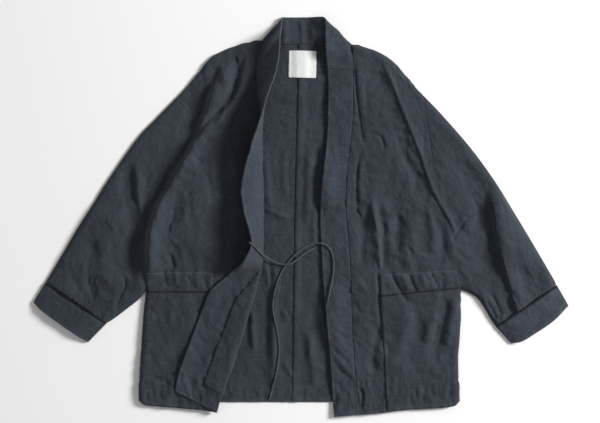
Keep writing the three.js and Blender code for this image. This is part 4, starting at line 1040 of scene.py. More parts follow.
def beyond_foot(y):
    """Points of the turned edge, one row for each height `y` and one column for each step."""
    radius, tilt, bow, turned, heading = turn_at(y)[1:]
    x = foot_x(y)
    py = y.copy()
    z = loft(x, y)
    flat = rise((tilt - LYING_FROM) / LYING_OVER)
    turn = np.radians(heading)
    points = []
    for length, degrees, settled in edge_steps(radius, tilt, bow, turned):
        reach = length * np.cos(np.radians(degrees))
        back = reach < 0
        x = x + np.where(back, reach * np.cos(turn), reach)
        py = py + np.where(back, -reach * np.sin(turn), 0)
        z = z + length * np.sin(np.radians(degrees))
        height = z
        if settled is not None:
            lying = loft(x, py) + mix(2 * radius, LAPEL_LIFT, rise(settled * 2))
            height = mix(z, lying, flat)
        points.append(np.stack([x, py, height], -1))
    return np.stack(points, 1)


waist = beyond_foot(np.array([15.0]))[0]
print("the edge at the waist stands", float(waist[:, 2].max().round(1)), "mm high")

# %% [markdown]
# Two more helpers finish a front's outline and put its plan on the lofted height.
# %% Rounding at the outline
ROLL_STEPS = 3
ROLL_RADIUS = 1.5
ROLL_DEGREES = 85


def rolled_over(grid, axis, shares):
    """Adds a rounded edge before the first row or column, where the cloth turns down to the lower one."""
    first, second = np.take(grid, 0, axis), np.take(grid, 1, axis)
    out = first - second
    out[..., 2] = 0
    out = unit(out)
    added = []
    for step in range(ROLL_STEPS, 0, -1):
        turn = math.radians(ROLL_DEGREES) * step / ROLL_STEPS
        radius = (ROLL_RADIUS * shares)[:, None]
        drop = np.array([0, 0, 1.0]) * radius * (1 - math.cos(turn))
        added.append(first + out * radius * math.sin(turn) - drop)
    return np.concatenate([np.stack(added, axis), grid], axis)


def on_loft(plan, lift=0.0):
    """Places in plan as points at the upper cloth's height."""
    x, y = plan[..., 0], plan[..., 1]
    return np.dstack([x, y, loft(x, y) + lift])


print("a rounded edge is", ROLL_RADIUS, "mm wide")

# %% [markdown]
# Along the hem the cloth is turned up and sewn down, so it is thicker there, with a groove at the seam
# and rows of puckers above and below it. The crinkles fade out at the armhole, where the sleeve begins.
# %% Relief of the hem and the armhole
HEM_DEPTH = 42
HEM_RISE = 1.2
HEM_SLOPE = 3
HEM_GROOVE = 0.8
HEM_GROOVE_WIDTH = 2.2
# height of a row of puckers above the hem's edge, its reach, their size, squeeze, rise and seed
HEM_PUCKERS = [
    (36, 20, 11, 0.25, 2.4, 0),
    (65, 8, 6, 0.2, 1.8, 3),
    (21, 12, 7, 0.2, 1.8, 4),
]
ARM_FADE = 22
ARM_OVER = 12


def puckers(along, x, middle, reach, size, squeeze, seed):
    """Short puckers across a line that runs `middle` mm above an edge."""
    return swell(x, along * squeeze, size, seed) * bell(along - middle, reach)


def hem_height(along, x, seed):
    """Height of the turned-up hem, its groove and its puckers. `along` is mm up from the edge."""
    total = HEM_RISE * rise((HEM_DEPTH + HEM_SLOPE / 2 - along) / HEM_SLOPE)
    total -= HEM_GROOVE * bell(along - HEM_DEPTH, HEM_GROOVE_WIDTH)
    for middle, reach, size, squeeze, tall, more in HEM_PUCKERS:
        total += tall * puckers(along, x, middle, reach, size, squeeze, seed + more)
    return total


def arm_fade(grid, across):
    """0 at the armhole and 1 away from it, so that body and sleeve meet at one height."""
    beside_arm = rise((grid[:, :1, 1] - UNDERARM_Y + ARM_OVER) / ARM_OVER)
    return 1 - beside_arm * (1 - rise(across / ARM_FADE))


print("turned hem at its edge:", float(hem_height(np.zeros(1), np.zeros(1), seed=1)[0].round(2)), "mm")

# %% [markdown]
# The wearer's right front goes on round the turned edge, so its grid has the band's columns as well. The
# band's relief begins softly below its cross seam.
# %% Right front
FRONT_END = FRONT_COLUMNS + ARC_STEPS + TURNED_STEPS
JOIN_FADE = 16
JOIN_LAP = 0.1

right_plan = front_plan(RIGHT, foot_x)
right_grid = np.concatenate([on_loft(right_plan), beyond_foot(right_plan[:, -1, 1])], 1)
JOIN_ROW = int(np.argmin(np.abs(right_plan[:, -1, 1] - JOIN_Y)))
across, along = travelled(right_grid, 1), travelled(right_grid, 0)
from_band = np.abs(across - across[:, FRONT_END:FRONT_END + 1])
height = crinkle(right_grid[..., 0], right_grid[..., 1], seed=11, angle=70)
height += seam_relief(across, along, seed=19, reach=9, depth=0.7)
height *= arm_fade(right_grid, across)
height += hem_height(from_bottom(right_grid), right_grid[..., 0], seed=31)
height += seam_relief(from_band, along, seed=17, reach=11, size=10, depth=0.8)
below_join = rise((along - along[JOIN_ROW:JOIN_ROW + 1]) / JOIN_FADE)
height[:, FRONT_END + 1:] *= below_join[:, FRONT_END + 1:]
right_grid = add_height(right_grid, height)
print("right front and band:", right_grid.shape[1], "by", right_grid.shape[0], "points")

# %% [markdown]
# The left front lies flat. Its pocket's mouth is sewn on a slant, higher at the side seam, and its
# shoulder ends lower at the neck than the right one does.
# %% Left front
SLANT = 0.104
SLANT_FROM_X, SLANT_TO_X = 160, 340
SLANT_FROM_Y, SLANT_TO_Y = -240, -70
SLANT_FADES = (60, 80)
NECK_DROP = 8
DROP_FROM = (165, JOIN_Y)
DROP_OVER = (55, 50)


def left_seam_x(y):
    return x_at_y(LEFT["band_seam"], y)


def slanted(plan):
    x, y = plan[..., 0], plan[..., 1]
    off_middle = np.clip(x, SLANT_FROM_X, SLANT_TO_X) - (SLANT_FROM_X + SLANT_TO_X) / 2
    near_mouth = within(y, SLANT_FROM_Y, SLANT_TO_Y, *SLANT_FADES)
    near_mouth = near_mouth * rise((x - SLANT_FROM_X + SLANT_FADES[0]) / SLANT_FADES[0])
    return np.stack([x, y + SLANT * off_middle * near_mouth], -1)


def dropped(plan):
    x, y = plan[..., 0], plan[..., 1]
    share = rise((DROP_FROM[0] - x) / DROP_OVER[0]) * rise((y - DROP_FROM[1]) / DROP_OVER[1])
    return np.stack([x, y - NECK_DROP * share], -1)


left_plan = dropped(slanted(front_plan(LEFT, left_seam_x)))
left_grid = on_loft(left_plan)
across, along = travelled(left_grid, 1), travelled(left_grid, 0)
height = crinkle(left_grid[..., 0], left_grid[..., 1], seed=47, angle=110)
height += seam_relief(across, along, seed=29, reach=9, depth=0.7)
height *= arm_fade(left_grid, across)
height += hem_height(from_bottom(left_grid), left_grid[..., 0], seed=37)
height += seam_relief(across[:, -1:] - across, along, seed=23, reach=10, size=10, depth=0.8)
left_grid = add_height(left_grid, height)
print("left front:", left_grid.shape[1], "by", left_grid.shape[0], "points")

# %% [markdown]
# Both fronts get their rounded edge: all along the shoulder, and along the side seam from the armhole's
# lower end to the hem. At the armhole itself the edge stays sharp, because the sleeve goes on from it.
# %% Both fronts as cloth
ARM_EDGE = 0.02  # share of the rounding that the armhole keeps
ARM_EDGE_OVER = 10
for name, grid in (("front_right", right_grid[:, :FRONT_END + 1]), ("front_left", left_grid)):
    shoulder = rolled_over(grid, 0, np.ones(grid.shape[1]))
    below_arm = rise((UNDERARM_Y - shoulder[:, 0, 1]) / ARM_EDGE_OVER)
    whole = rolled_over(shoulder, 1, np.maximum(ARM_EDGE, below_arm))
    sew(name, whole, indigo, worn=("bottom",))

# %% [markdown]
# ## Collar band
# The band is doubled cloth, sewn to both front edges. On the wearer's right it stands on its seam, on
# the left it lies flat. It shares the fronts' rows, so the seam closes without a step.
# %% Front bands
BAND_DROP = 5  # how much lower the flat band's free edge ends at the hem
BAND_DROP_Y = -340
BAND_DROP_OVER = 70
# y, rise of the flat band's free edge: it rests on the back in places and stands off it in others
BAND_EDGE = [
    [380, 0], [309, -3.5], [268, -2.5], [240, 2], [205, -3], [172, -2], [130, 5], [75, 6.5], [25, 2],
    [-5, -2.5], [-50, -2.5], [-120, -3], [-165, 0.5], [-215, 6], [-262, 1], [-300, -2.5], [-420, -3],
]
band = right_grid[JOIN_ROW:, FRONT_END + 1:]
sew("collar_band_right", band, band_cotton_painted_light, thickness=DOUBLED, worn=("last", "bottom"))

seam = left_plan[JOIN_ROW:, -1]
u = np.linspace(0, 1, BAND_STEPS + 1)
edge_x = x_at_y(LEFT["band_edge"], seam[:, 1])
drop = BAND_DROP * rise((BAND_DROP_Y - seam[:, 1]) / BAND_DROP_OVER)
band_plan = np.stack([
    mix(seam[:, :1] - GAP, edge_x[:, None], u),
    seam[:, 1:] - drop[:, None] * u,
], -1)
left_band = on_loft(band_plan, BAND_LIFT)
from_seam, along = travelled(left_band, 1), travelled(left_band, 0)
edge = on_curve(BAND_EDGE, place_at(BAND_EDGE, 0, left_band[..., 1]))[..., 1]
relief = crinkle(left_band[..., 0], left_band[..., 1], seed=59, angle=95, depth=0.8)
relief += seam_relief(from_seam, along, seed=23, reach=9, size=10, depth=0.7)
relief += edge * rise(from_seam / BAND_WIDTH) ** 2
height = relief * rise(along / JOIN_FADE)
height += hem_height(from_bottom(left_band), left_band[..., 0], seed=41)
left_band = add_height(left_band, height)
sew("collar_band_left", left_band, band_cotton_painted_light, thickness=DOUBLED, worn=("last", "bottom"))

# %% [markdown]
# Behind the neck the band is one strip that folds over itself beside each shoulder. A straight strip
# folded along a slanted line turns its direction, so the flap ends up running down the front. Points
# beyond the fold are mirrored in it, and the fold itself is half a turn round a small radius, which is
# smaller still at the neck seam. `s` is the place along the strip from the back's centre, `v` the place
# across it from the seam, and `side` is -1 on the wearer's right and 1 on the left.
# %% Band behind the neck
FOLD_SUM = {-1: 453, 1: 469}  # |x| + y along each fold's line, at the seam
FOLD_SPREAD = {-1: 6, 1: 0}  # and how much more it is at the free edge
FLAP_BLEND = 28
FLAP_TOP_Y = 350
FOLD_TIGHT = 0.4  # share of the fold's radius at the seam
FOLD_OPENS = 15  # mm from the seam where the radius is whole
NECK_COUNTS = (20, 14, 24)  # columns of the flap, round the fold and behind the neck, on each side
DIAGONAL = math.sqrt(2)


def fold_sum(side, v):
    return FOLD_SUM[side] + FOLD_SPREAD[side] * v / BAND_WIDTH


def flap_point(y, v, side):
    """Where a flap's point lies once it has become the front's band."""
    if side > 0:
        below_top = np.minimum(y, TOP_Y)
        seam_x, edge_x = x_at_y(LEFT["band_seam"], below_top), x_at_y(LEFT["band_edge"], below_top)
        width = mix(BAND_WIDTH, seam_x - GAP - edge_x, rise((FLAP_TOP_Y - y) / FLAP_BLEND))
        x = seam_x - GAP - width * v / BAND_WIDTH
        return np.stack([x, y, loft(x, np.minimum(y, FLAP_TOP_Y)) + BAND_LIFT], -1)
    band = beyond_foot(y.ravel())[:, ARC_STEPS + TURNED_STEPS:]
    at = (v / BAND_WIDTH * BAND_STEPS).ravel()
    i = np.minimum(BAND_STEPS - 1, at.astype(int))
    row = np.arange(len(at))
    return mix(band[row, i], band[row, i + 1], (at - i)[:, None]).reshape(*y.shape, 3)


def neck_band_part(s, v, side):
    """Points of one side: flat behind the neck, rolled over the fold, and on as the flap."""
    total = fold_sum(side, v)
    beyond = side * (s - side * (total - NECK_Y - v)) / DIAGONAL
    radius = COLLAR_FOLD_RADIUS * mix(FOLD_TIGHT, 1, rise(v / FOLD_OPENS))
    half = math.pi * radius / 2
    base = DOUBLED / 2
    flat_y = NECK_Y + v
    turn = np.clip(math.pi * (beyond + half) / (2 * half), 0, math.pi)
    along = np.where(beyond <= -half, 0, -half + radius * np.sin(turn) - beyond)
    rolled = np.stack([
        s + side * along / DIAGONAL,
        flat_y + along / DIAGONAL,
        base + radius * (1 - np.cos(turn)),
    ], -1)
    mirrored_x, mirrored_y = side * (total - flat_y), total - side * s
    folded = np.stack(np.broadcast_arrays(mirrored_x, mirrored_y, base + 2 * radius), -1)
    flap = mix(folded, flap_point(folded[..., 1], v, side), rise((beyond - half) / FLAP_BLEND)[..., None])
    return np.where((beyond >= half)[..., None], flap, rolled)


def neck_band():
    """The whole strip as one grid, from the right front's cross seam to the left one's."""
    half = math.pi * COLLAR_FOLD_RADIUS * DIAGONAL / 2
    v = np.linspace(0, BAND_WIDTH, BAND_STEPS + 1)
    parts = []
    for side in (-1, 1):
        fold = side * (fold_sum(side, v) - NECK_Y - v)
        end = side * (fold_sum(side, v) - JOIN_Y + JOIN_LAP)
        stops = [end, fold + side * half, fold - side * half, v * 0]
        counts = NECK_COUNTS
        if side > 0:
            stops, counts = stops[::-1], counts[::-1]
        s = [np.linspace(a, b, count, endpoint=False).T for a, b, count in zip(stops, stops[1:], counts)]
        if side > 0:
            s.append(end[:, None])
        s = np.concatenate(s, 1)
        parts.append(neck_band_part(s, np.broadcast_to(v[:, None], s.shape), side))
    return np.concatenate(parts, 1)


neck_grid = neck_band()
print("band behind the neck:", neck_grid.shape[1], "by", neck_grid.shape[0], "points")

# %% [markdown]
# The inner layer of the left fold is loose, so the band stands up in a soft roll there. It comes down to
# the flat band at the cross seam. A few short creases run across the strip.
# %% Roll and creases of the neck band
NECK_LOOSE = 13  # how far the band stands up
NECK_LOOSE_X = 50
NECK_LOOSE_REACH = 27
NECK_LOOSE_OVER = 26
NECK_FOLDS = [
    (2.6, 7, 0, [[-36, 418], [-33, 385], [-35, 356]]),
    (2.4, 6, 0.3, [[-2, 418], [2, 388], [0, 358]]),
    (1.8, 6, 0, [[20, 400], [24, 380], [22, 356]]),
]
u, v = travelled(neck_grid, 1), travelled(neck_grid, 0)
ends = rise(u / JOIN_FADE) * rise((u[:, -1:] - u) / JOIN_FADE)
neck_grid = add_height(neck_grid, crinkle(u, v, seed=71, angle=20, depth=0.7) * ends)
from_seam = np.linspace(0, 1, BAND_STEPS + 1)[:, None]
from_join = rise((neck_grid[..., 1] - JOIN_Y - JOIN_FADE) / NECK_LOOSE_OVER)
near_fold = bell(neck_grid[..., 0] - NECK_LOOSE_X, NECK_LOOSE_REACH)
neck_grid[..., 2] += NECK_LOOSE * near_fold * rise(3 * from_seam) * from_join
neck_grid[..., 2] += fold_height(NECK_FOLDS, neck_grid[..., 0], neck_grid[..., 1])
neck_grid[..., 2] = np.maximum(neck_grid[..., 2], DOUBLED / 2)
sew("collar_band_neck", neck_grid, band_cotton_painted_light, thickness=DOUBLED, worn=("bottom",))

# %% [markdown]
# ## Back
# The back is two halves, flat on the floor. Between the fronts their inside shows: a felled seam, whose
# allowance is turned to one side and sewn down, and the hem's turned-up edge with its puckers.
# The folds fade out under the fronts and under the label, where they would only lift them. The noise in
# them only rises, because the cloth lies on the floor.
# %% Relief of the back
LABEL_CENTRE = (3, 320.5)
CALM_REACH = 42  # half the width of the smooth cloth under the label
FELL_WIDTH = 14
FELL_RISE = 2.2
FELL_EDGES = (1.2, 1.4)  # widths of its two slopes
BACK_HEM_DEPTH = 33
BACK_HEM_RISE = 1.7
BACK_HEM_SLOPE = 1.6
BACK_PUCKERS = (16, 13, 9, 0.25)  # mm above the hem's edge, reach, size and squeeze
PUCKER_HEIGHT = 3.4
FOLD_SCALE = 1.25  # the main folds stand this much higher than in the solids
SWELL_SCALE, CRINKLE_SCALE = 1.4, 0.8
SHOWN_PAST = 14  # the back's relief goes on this far under the fronts
SHOWN_OVER = 9  # and fades over this width at the flat band


def back_relief(x, y):
    """Height of the inside of the back over the flat cloth: low folds, the felled seam and the hem."""
    from_seam = x - x_at_y(BACK_CENTRE, y)
    felled = within(from_seam, -FELL_EDGES[0] / 2, FELL_WIDTH, *FELL_EDGES)
    folds = FOLD_SCALE * fold_height(BACK_FOLDS, x, y)
    soft = SWELL_SCALE * np.maximum(0, swell(x, y, size=34, seed=5, angle=80, stretch=2.0))
    soft += CRINKLE_SCALE * np.maximum(0, crinkle(x, y, seed=83, angle=95))
    up = y - BACK_HEM_Y
    hem = BACK_HEM_RISE * rise((BACK_HEM_DEPTH - up) / BACK_HEM_SLOPE)
    pucker = PUCKER_HEIGHT * np.maximum(0, puckers(up, x, *BACK_PUCKERS, seed=89))
    first_x, last_x = foot_x(y) - SHOWN_PAST, x_at_y(LEFT["band_edge"], y) + SHOWN_PAST
    shown = within(x, first_x, last_x, SHOWN_PAST, SHOWN_OVER)
    off_x, off_y = (x - LABEL_CENTRE[0]) / CALM_REACH, (y - LABEL_CENTRE[1]) / CALM_REACH
    calm = 1 - np.exp(-off_x ** 4 - off_y ** 4)
    return FELL_RISE * felled + hem + shown * calm * (folds + soft + pucker)


chest = back_relief(np.array([-30.0, 0.0, 30.0]), np.array([100.0, 100.0, 100.0]))
print("relief across the centre seam:", chest.round(2))

# %% [markdown]
# A half is one grid from shoulder and neck down to the hem, and from the armhole and side seam in to the
# centre seam.
# %% Back halves
BACK_COLUMNS = 80
BACK_NECK_COLUMNS = 24
BACK_ROWS = 190
NECK_HALF = 96  # half the width of the back neck
NECK_SHARE = 0.96  # share of the shoulder that the back's own top edge follows


def back_half(half, sign):
    """One half of the back, with its relief on the inside, which faces up."""
    columns = np.arange(BACK_COLUMNS + 1)
    outside = BACK_COLUMNS - BACK_NECK_COLUMNS
    shoulder = pace(half["shoulder"], NECK_SHARE * np.minimum(columns / outside, 1))
    shoulder[:, 1] = np.minimum(shoulder[:, 1], NECK_Y - GAP)
    across = np.clip((columns - outside) / BACK_NECK_COLUMNS, 0, 1)
    neck = np.stack([mix(sign * NECK_HALF, BACK_CENTRE[0][0], across), across * 0 + NECK_Y - GAP], -1)
    top = np.where((columns <= outside)[:, None], shoulder, neck)
    down = np.linspace(0, 1, BACK_ROWS + 1)
    arm_y = mix(half["armhole"][0][1], BACK_HEM_Y, down)
    arm_x = np.where(arm_y > UNDERARM_Y, x_at_y(half["armhole"], arm_y), x_at_y(half["side"], arm_y))
    centre_y = mix(NECK_Y - GAP, BACK_HEM_Y, down)
    centre_x = x_at_y(BACK_CENTRE, centre_y) + sign * GAP / 2
    u = columns / BACK_COLUMNS
    straight_x = mix(half["shoulder"][0][0], BACK_CENTRE[0][0], u)
    straight_y = mix(half["shoulder"][0][1], NECK_Y - GAP, u)
    x = mix(arm_x[:, None], centre_x[:, None], u) + (1 - down)[:, None] * (top[:, 0] - straight_x)
    y = mix(arm_y[:, None], centre_y[:, None], u) + (1 - down)[:, None] * (top[:, 1] - straight_y)
    return np.dstack([x, y, CLOTH / 2 + back_relief(x, y)])


for name, half, sign in (("back_right", RIGHT, -1), ("back_left", LEFT, 1)):
    sew(name, back_half(half, sign), inside_cotton, worn=("bottom",))

# %% [markdown]
# ## Sleeves and cuffs
# A sleeve is a tube pressed nearly flat: rings that run along the underside and back over the top, from
# the armhole out to the cuff. At each side a small bend joins the two layers.
# %% A flattened tube
BEND_COLUMNS = 4


def ring(plan_at, rows, top_count, under_count, top_height, wall):
    """Rings of a tube. `plan_at` gives places across it from 0 to 1, `top_height` the upper centre."""
    under = plan_at(rows, np.linspace(0, 1, under_count + 1))
    over = plan_at(rows, np.linspace(1, 0, top_count + 1))
    under = np.dstack([under, np.full(under.shape[:2], wall / 2)])
    over = np.dstack([over, top_height(over[..., 0], over[..., 1])])

    def bend(start, end, inner):
        middle, radius = (start + end) / 2, (end[:, 2:] - start[:, 2:]) / 2
        out = middle - inner
        out[:, 2] = 0
        out = unit(out) * abs(radius)
        up = np.array([0, 0, 1.0]) * radius
        turns = np.linspace(0, math.pi, BEND_COLUMNS + 2)[1:-1]
        return np.stack([middle + out * math.sin(turn) - up * math.cos(turn) for turn in turns], 1)

    far = bend(under[:, -1], over[:, 0], under[:, -2])
    near = bend(over[:, -1], under[:, 0], under[:, 1])
    return np.concatenate([under, far, over, near], 1)


def top_share(top_count, under_count, fade):
    """For each column of a ring: 0 underneath and in the bends, 1 on top, rising over `fade` of its width."""
    share = np.zeros(under_count + top_count + 2 + 2 * BEND_COLUMNS)
    first = under_count + 1 + BEND_COLUMNS
    share[first:first + top_count + 1] = within(np.linspace(0, 1, top_count + 1), 0, 1, fade, fade)
    return share


print("creases over the top of a ring:", top_share(top_count=8, under_count=0, fade=0.25)[5:14].round(2))

# %% [markdown]
# The sleeve's rings begin at the armhole, a hair off the body, and turn bit by bit into the straight
# line of the cuff's seam. Only the top is crinkled, because the underside rests on the floor.
# %% Sleeves
SLEEVE_ROWS = 100
SLEEVE_TOP_COLUMNS = 110
SLEEVE_UNDER_COLUMNS = 56
SLEEVE_END = 0.998  # share of the way to the cuff's seam
SLEEVE_FADE = 1 / 12
ARM_GAP = 0.2
CREASE_SEEDS = {"right": 101, "left": 131}


def sleeve_plan(half, sign):
    """Places in a sleeve: `t` runs from the armhole to the cuff and `w` from the lower edge to the upper."""
    under, over = half["sleeve_under"], half["sleeve_top"]

    def at(t, w):
        arm = pace(half["armhole"], 1 - w)
        straight = mix(np.array(under[0]), np.array(over[0]), w[:, None])
        low, high = pace(under, t)[:, None], pace(over, t)[:, None]
        place = mix(low, high, w[:, None]) + (1 - t)[:, None, None] * (arm - straight)
        place[..., 0] += sign * ARM_GAP * (1 - t)[:, None]
        return place

    return at


on_top = top_share(SLEEVE_TOP_COLUMNS, SLEEVE_UNDER_COLUMNS, SLEEVE_FADE)
for name, half, sign in (("right", RIGHT, -1), ("left", LEFT, 1)):
    seed, outward = CREASE_SEEDS[name], np.linspace(0, SLEEVE_END, SLEEVE_ROWS + 1)
    grid = ring(sleeve_plan(half, sign), outward, SLEEVE_TOP_COLUMNS, SLEEVE_UNDER_COLUMNS, loft, CLOTH)
    across, along = travelled(grid, 1), travelled(grid, 0)
    height = crinkle(grid[..., 0], grid[..., 1], seed, angle=sign * -55) * rise(along / ARM_FADE)
    height += seam_relief(along[-1:] - along, across, seed + 12, reach=16, size=8)
    grid = add_height(grid, height * on_top, closed=True)
    sew(f"sleeve_{name}", grid, indigo, closed=True, worn=())

# %% [markdown]
# The cuff is a doubled band, stiffer than the sleeve, so it stands a little higher in the middle. A dark
# piping takes the first few millimetres at its seam.
# %% Cuffs and their piping
CUFF_DEPTH = 50
CUFF_EDGE_LOFT = 5
CUFF_LOFT = 12
CUFF_ROUND = 45
PIPING_SHARE = 0.06  # of the cuff's depth
GAP_SHARE = GAP / CUFF_DEPTH
CUFF_ROWS = 16
CUFF_COUNTS = (46, 23)  # columns on top and underneath
PIPING_ROWS = 3
CUFF_FADE = 1 / 8


def cuff_lines(half):
    """Places in a cuff: `t` runs from its seam to its mouth and `w` from the lower edge to the upper."""
    low, high = np.array(half["sleeve_under"][-1]), np.array(half["sleeve_top"][-1])

    def at(t, w):
        seam, mouth = mix(low, high, w[:, None]), pace(half["cuff_mouth"], 1 - w)
        return mix(seam, mouth, t[:, None, None])

    return at


def cuff_height(half):
    """Height of a cuff's upper layer, rising from both edges to the middle."""
    ends = [cuff_lines(half)(np.array([0.0, 1.0]), np.array([w]))[:, 0] for w in (0.0, 1.0)]

    def at(x, y):
        near = np.minimum(*(along_path(path, x, y)[0] for path in ends))
        return mix(CUFF_EDGE_LOFT, CUFF_LOFT, 1 - (1 - np.minimum(1, near / CUFF_ROUND)) ** 2)

    return at


on_top = top_share(*CUFF_COUNTS, CUFF_FADE)
for name, half, cotton_of_cuff in (("right", RIGHT, indigo), ("left", LEFT, cuff_cotton)):
    seed, lines, height = CREASE_SEEDS[name], cuff_lines(half), cuff_height(half)
    outward = np.linspace(GAP_SHARE, PIPING_SHARE, PIPING_ROWS + 1)
    strip = ring(lines, outward, *CUFF_COUNTS, height, DOUBLED)
    sew(f"cuff_piping_{name}", strip, piping_cloth, "dark_piping", thickness=DOUBLED, closed=True, worn=())
    outward = np.linspace(PIPING_SHARE + GAP_SHARE, 1, CUFF_ROWS + 1)
    cuff = ring(lines, outward, *CUFF_COUNTS, height, DOUBLED)
    across, along = travelled(cuff, 1), travelled(cuff, 0)
    relief = crinkle(cuff[..., 0], cuff[..., 1], seed + 20, angle=30, depth=0.6)
    relief += seam_relief(along, across, seed + 12, reach=18, depth=1.1)
    cuff = add_height(cuff, relief * on_top, closed=True)
    sew(f"cuff_{name}", cuff, cotton_of_cuff, thickness=DOUBLED, closed=True, worn=("bottom",))

# %% [markdown]
# ## Pockets
# The patch pockets lie on the fronts, so they are made from the fronts' own points, moved out. Each has
# a mouth band on top and a dark piping between. Away from the piping the patch is gathered by its seams.
# %% Pockets
PIPING_CROWN = 0.3
PATCH_EASE = 0.3  # how far the gathered cloth stands off the front
POCKET_SEEDS = {"right": 151, "left": 163}


def moved_out(grid, distance):
    """The same grid, a steady distance further out."""
    return grid + directions(grid) * distance


def trimmed(grid, top, bottom):
    """Takes a strip off the first and the last row, measured along the cloth in mm."""
    long = travelled(grid, 0)
    out = []
    for c in range(grid.shape[1]):
        walk = np.linspace(top, long[-1, c] - bottom, grid.shape[0])
        out.append(np.stack([np.interp(walk, long[:, c], grid[:, c, k]) for k in range(3)], -1))
    return np.stack(out, 1)


for name, grid in (("right", right_grid), ("left", left_grid)):
    patch = moved_out(grid, SEAT)[:, :POCKET_COLUMNS + 1]
    across, along = travelled(patch, 1), travelled(patch, 0)
    from_piping = np.maximum(along - along[FOOT_ROW:FOOT_ROW + 1], along[PIPING_ROW:PIPING_ROW + 1] - along)
    relief = seam_relief(from_piping, across, POCKET_SEEDS[name], reach=20, depth=0.8)
    relief += seam_relief(across[:, -1:] - across, along, POCKET_SEEDS[name] + 3, reach=8, depth=0.5)
    patch = add_height(patch, np.maximum(0, relief + PATCH_EASE) * (from_piping > 0))
    pocket = trimmed(patch[FOOT_ROW:], GAP / 2, POCKET_FOOT)
    sew(f"pocket_{name}", pocket, indigo, worn=("last", "bottom"))
    strip = trimmed(patch[PIPING_ROW:FOOT_ROW + 1], GAP / 2, GAP / 2)
    crown = PIPING_CROWN * np.sin(np.linspace(0, math.pi, strip.shape[0]))
    strip = add_height(strip, np.broadcast_to(crown[:, None], strip.shape[:2]))
    sew(f"pocket_piping_{name}", strip, piping_cloth, "dark_piping")
    mouth = trimmed(patch[MOUTH_ROW:PIPING_ROW + 1], 0, GAP / 2)
    sew(f"pocket_band_{name}", mouth, indigo, worn=("top", "last"))

# %% [markdown]
# ## Label
# A bare white tape, nearly square, with its corners a little rounded. It is sewn on all round behind the
# neck, turned by a degree, and rises in a soft ramp over the felled seam beneath it.
# %% Label
LABEL_SIZE = (58, 57)
LABEL_TURN = -0.02
LABEL_WALL = 0.8
LABEL_RAMP = 16
LABEL_STEPS = 28
LABEL_CORNER = 0.015  # share by which a corner is drawn in
CORNER_SHARPNESS = 12
across, down = np.linspace(-1, 1, LABEL_STEPS + 1), np.linspace(1, -1, LABEL_STEPS + 1)
u, v = np.meshgrid(across, down)
corner = 1 - LABEL_CORNER * np.abs(u * v) ** CORNER_SHARPNESS
x, y = u * corner * LABEL_SIZE[0] / 2, v * corner * LABEL_SIZE[1] / 2
x, y = (LABEL_CENTRE[0] + x * math.cos(LABEL_TURN) - y * math.sin(LABEL_TURN),
        LABEL_CENTRE[1] + x * math.sin(LABEL_TURN) + y * math.cos(LABEL_TURN))
from_seam = x - x_at_y(BACK_CENTRE, y)
over_seam = within(from_seam, -LABEL_RAMP, FELL_WIDTH + LABEL_RAMP, LABEL_RAMP, LABEL_RAMP)
z = CLOTH + FELL_RISE * over_seam + LABEL_WALL / 2 + GAP
sew("label", np.dstack([x, y, z]), white_tape, "label_cloth", thickness=LABEL_WALL)

# %% [markdown]
# ## Stitches
# Every seam is sewn down with a row of small stitches. Each row is a line along one edge of a piece, a
# few millimetres in. Face 1 is the outer or upper side of the cloth and -1 the other one.
# %% Rows of stitches
def seam_line(name, edge, inset, face):
    """A line `inset` mm in from one edge: the top or bottom row, or the first or last column."""
    grid, thickness, closed = made[name]
    top = grid + directions(grid, closed) * face * thickness / 2
    if edge in ("top", "bottom"):
        top = top.swapaxes(0, 1)
    if edge in ("bottom", "last"):
        top = top[:, ::-1]
    walked = travelled(top, 1)
    row = np.arange(len(top))
    i = np.clip((walked < inset).sum(1) - 1, 0, top.shape[1] - 2)
    t = np.clip((inset - walked[row, i]) / (walked[row, i + 1] - walked[row, i]), 0, 1)
    return mix(top[row, i], top[row, i + 1], t[:, None])


SIDES = ("right", "left")
BAND_SEAMS = [("first", 1.5), ("first", 7.0), ("last", 1.5), ("bottom", HEM_DEPTH)]
# piece, its faces that show, and the rows on each: edge and mm in from it
ROWS = [
    ("collar_band_left", (1,), BAND_SEAMS),
    ("collar_band_right", (1, -1), BAND_SEAMS),
    ("collar_band_neck", (1,), [("top", 1.5), ("bottom", 1.5), ("first", 2.0)]),
    ("front_right", (1, -1), [("bottom", HEM_DEPTH)]),
    ("front_left", (1,), [("bottom", HEM_DEPTH), ("last", 2.0)]),
    ("front_right", (-1, 1), [("last", 2.0)]),
    ("back_right", (1,), [("bottom", BACK_HEM_DEPTH)]),
    ("back_left", (1,), [("bottom", BACK_HEM_DEPTH), ("last", 2.0), ("last", FELL_WIDTH - 1.5)]),
    *[(f"cuff_{side}", (1,), [("top", 2.0), ("bottom", 2.5)]) for side in SIDES],
    *[(f"pocket_{side}", (1,), [("top", 2.0), ("last", 2.0), ("first", 2.0)]) for side in SIDES],
    *[(f"pocket_band_{side}", (1,), [("last", 2.0), ("top", 2.5), ("bottom", 2.0)]) for side in SIDES],
    ("label", (1,), [("top", 1.5), ("bottom", 1.5), ("first", 1.5), ("last", 1.5)]),
]
lines = [seam_line(name, edge, inset, face) for name, faces, seams in ROWS for edge, inset in seams
         for face in faces]
sewn = sum(np.linalg.norm(np.diff(line, axis=0), axis=1).sum() for line in lines) * MM
print("rows of stitches:", len(lines), "with", round(float(sewn), 1), "metres of thread")

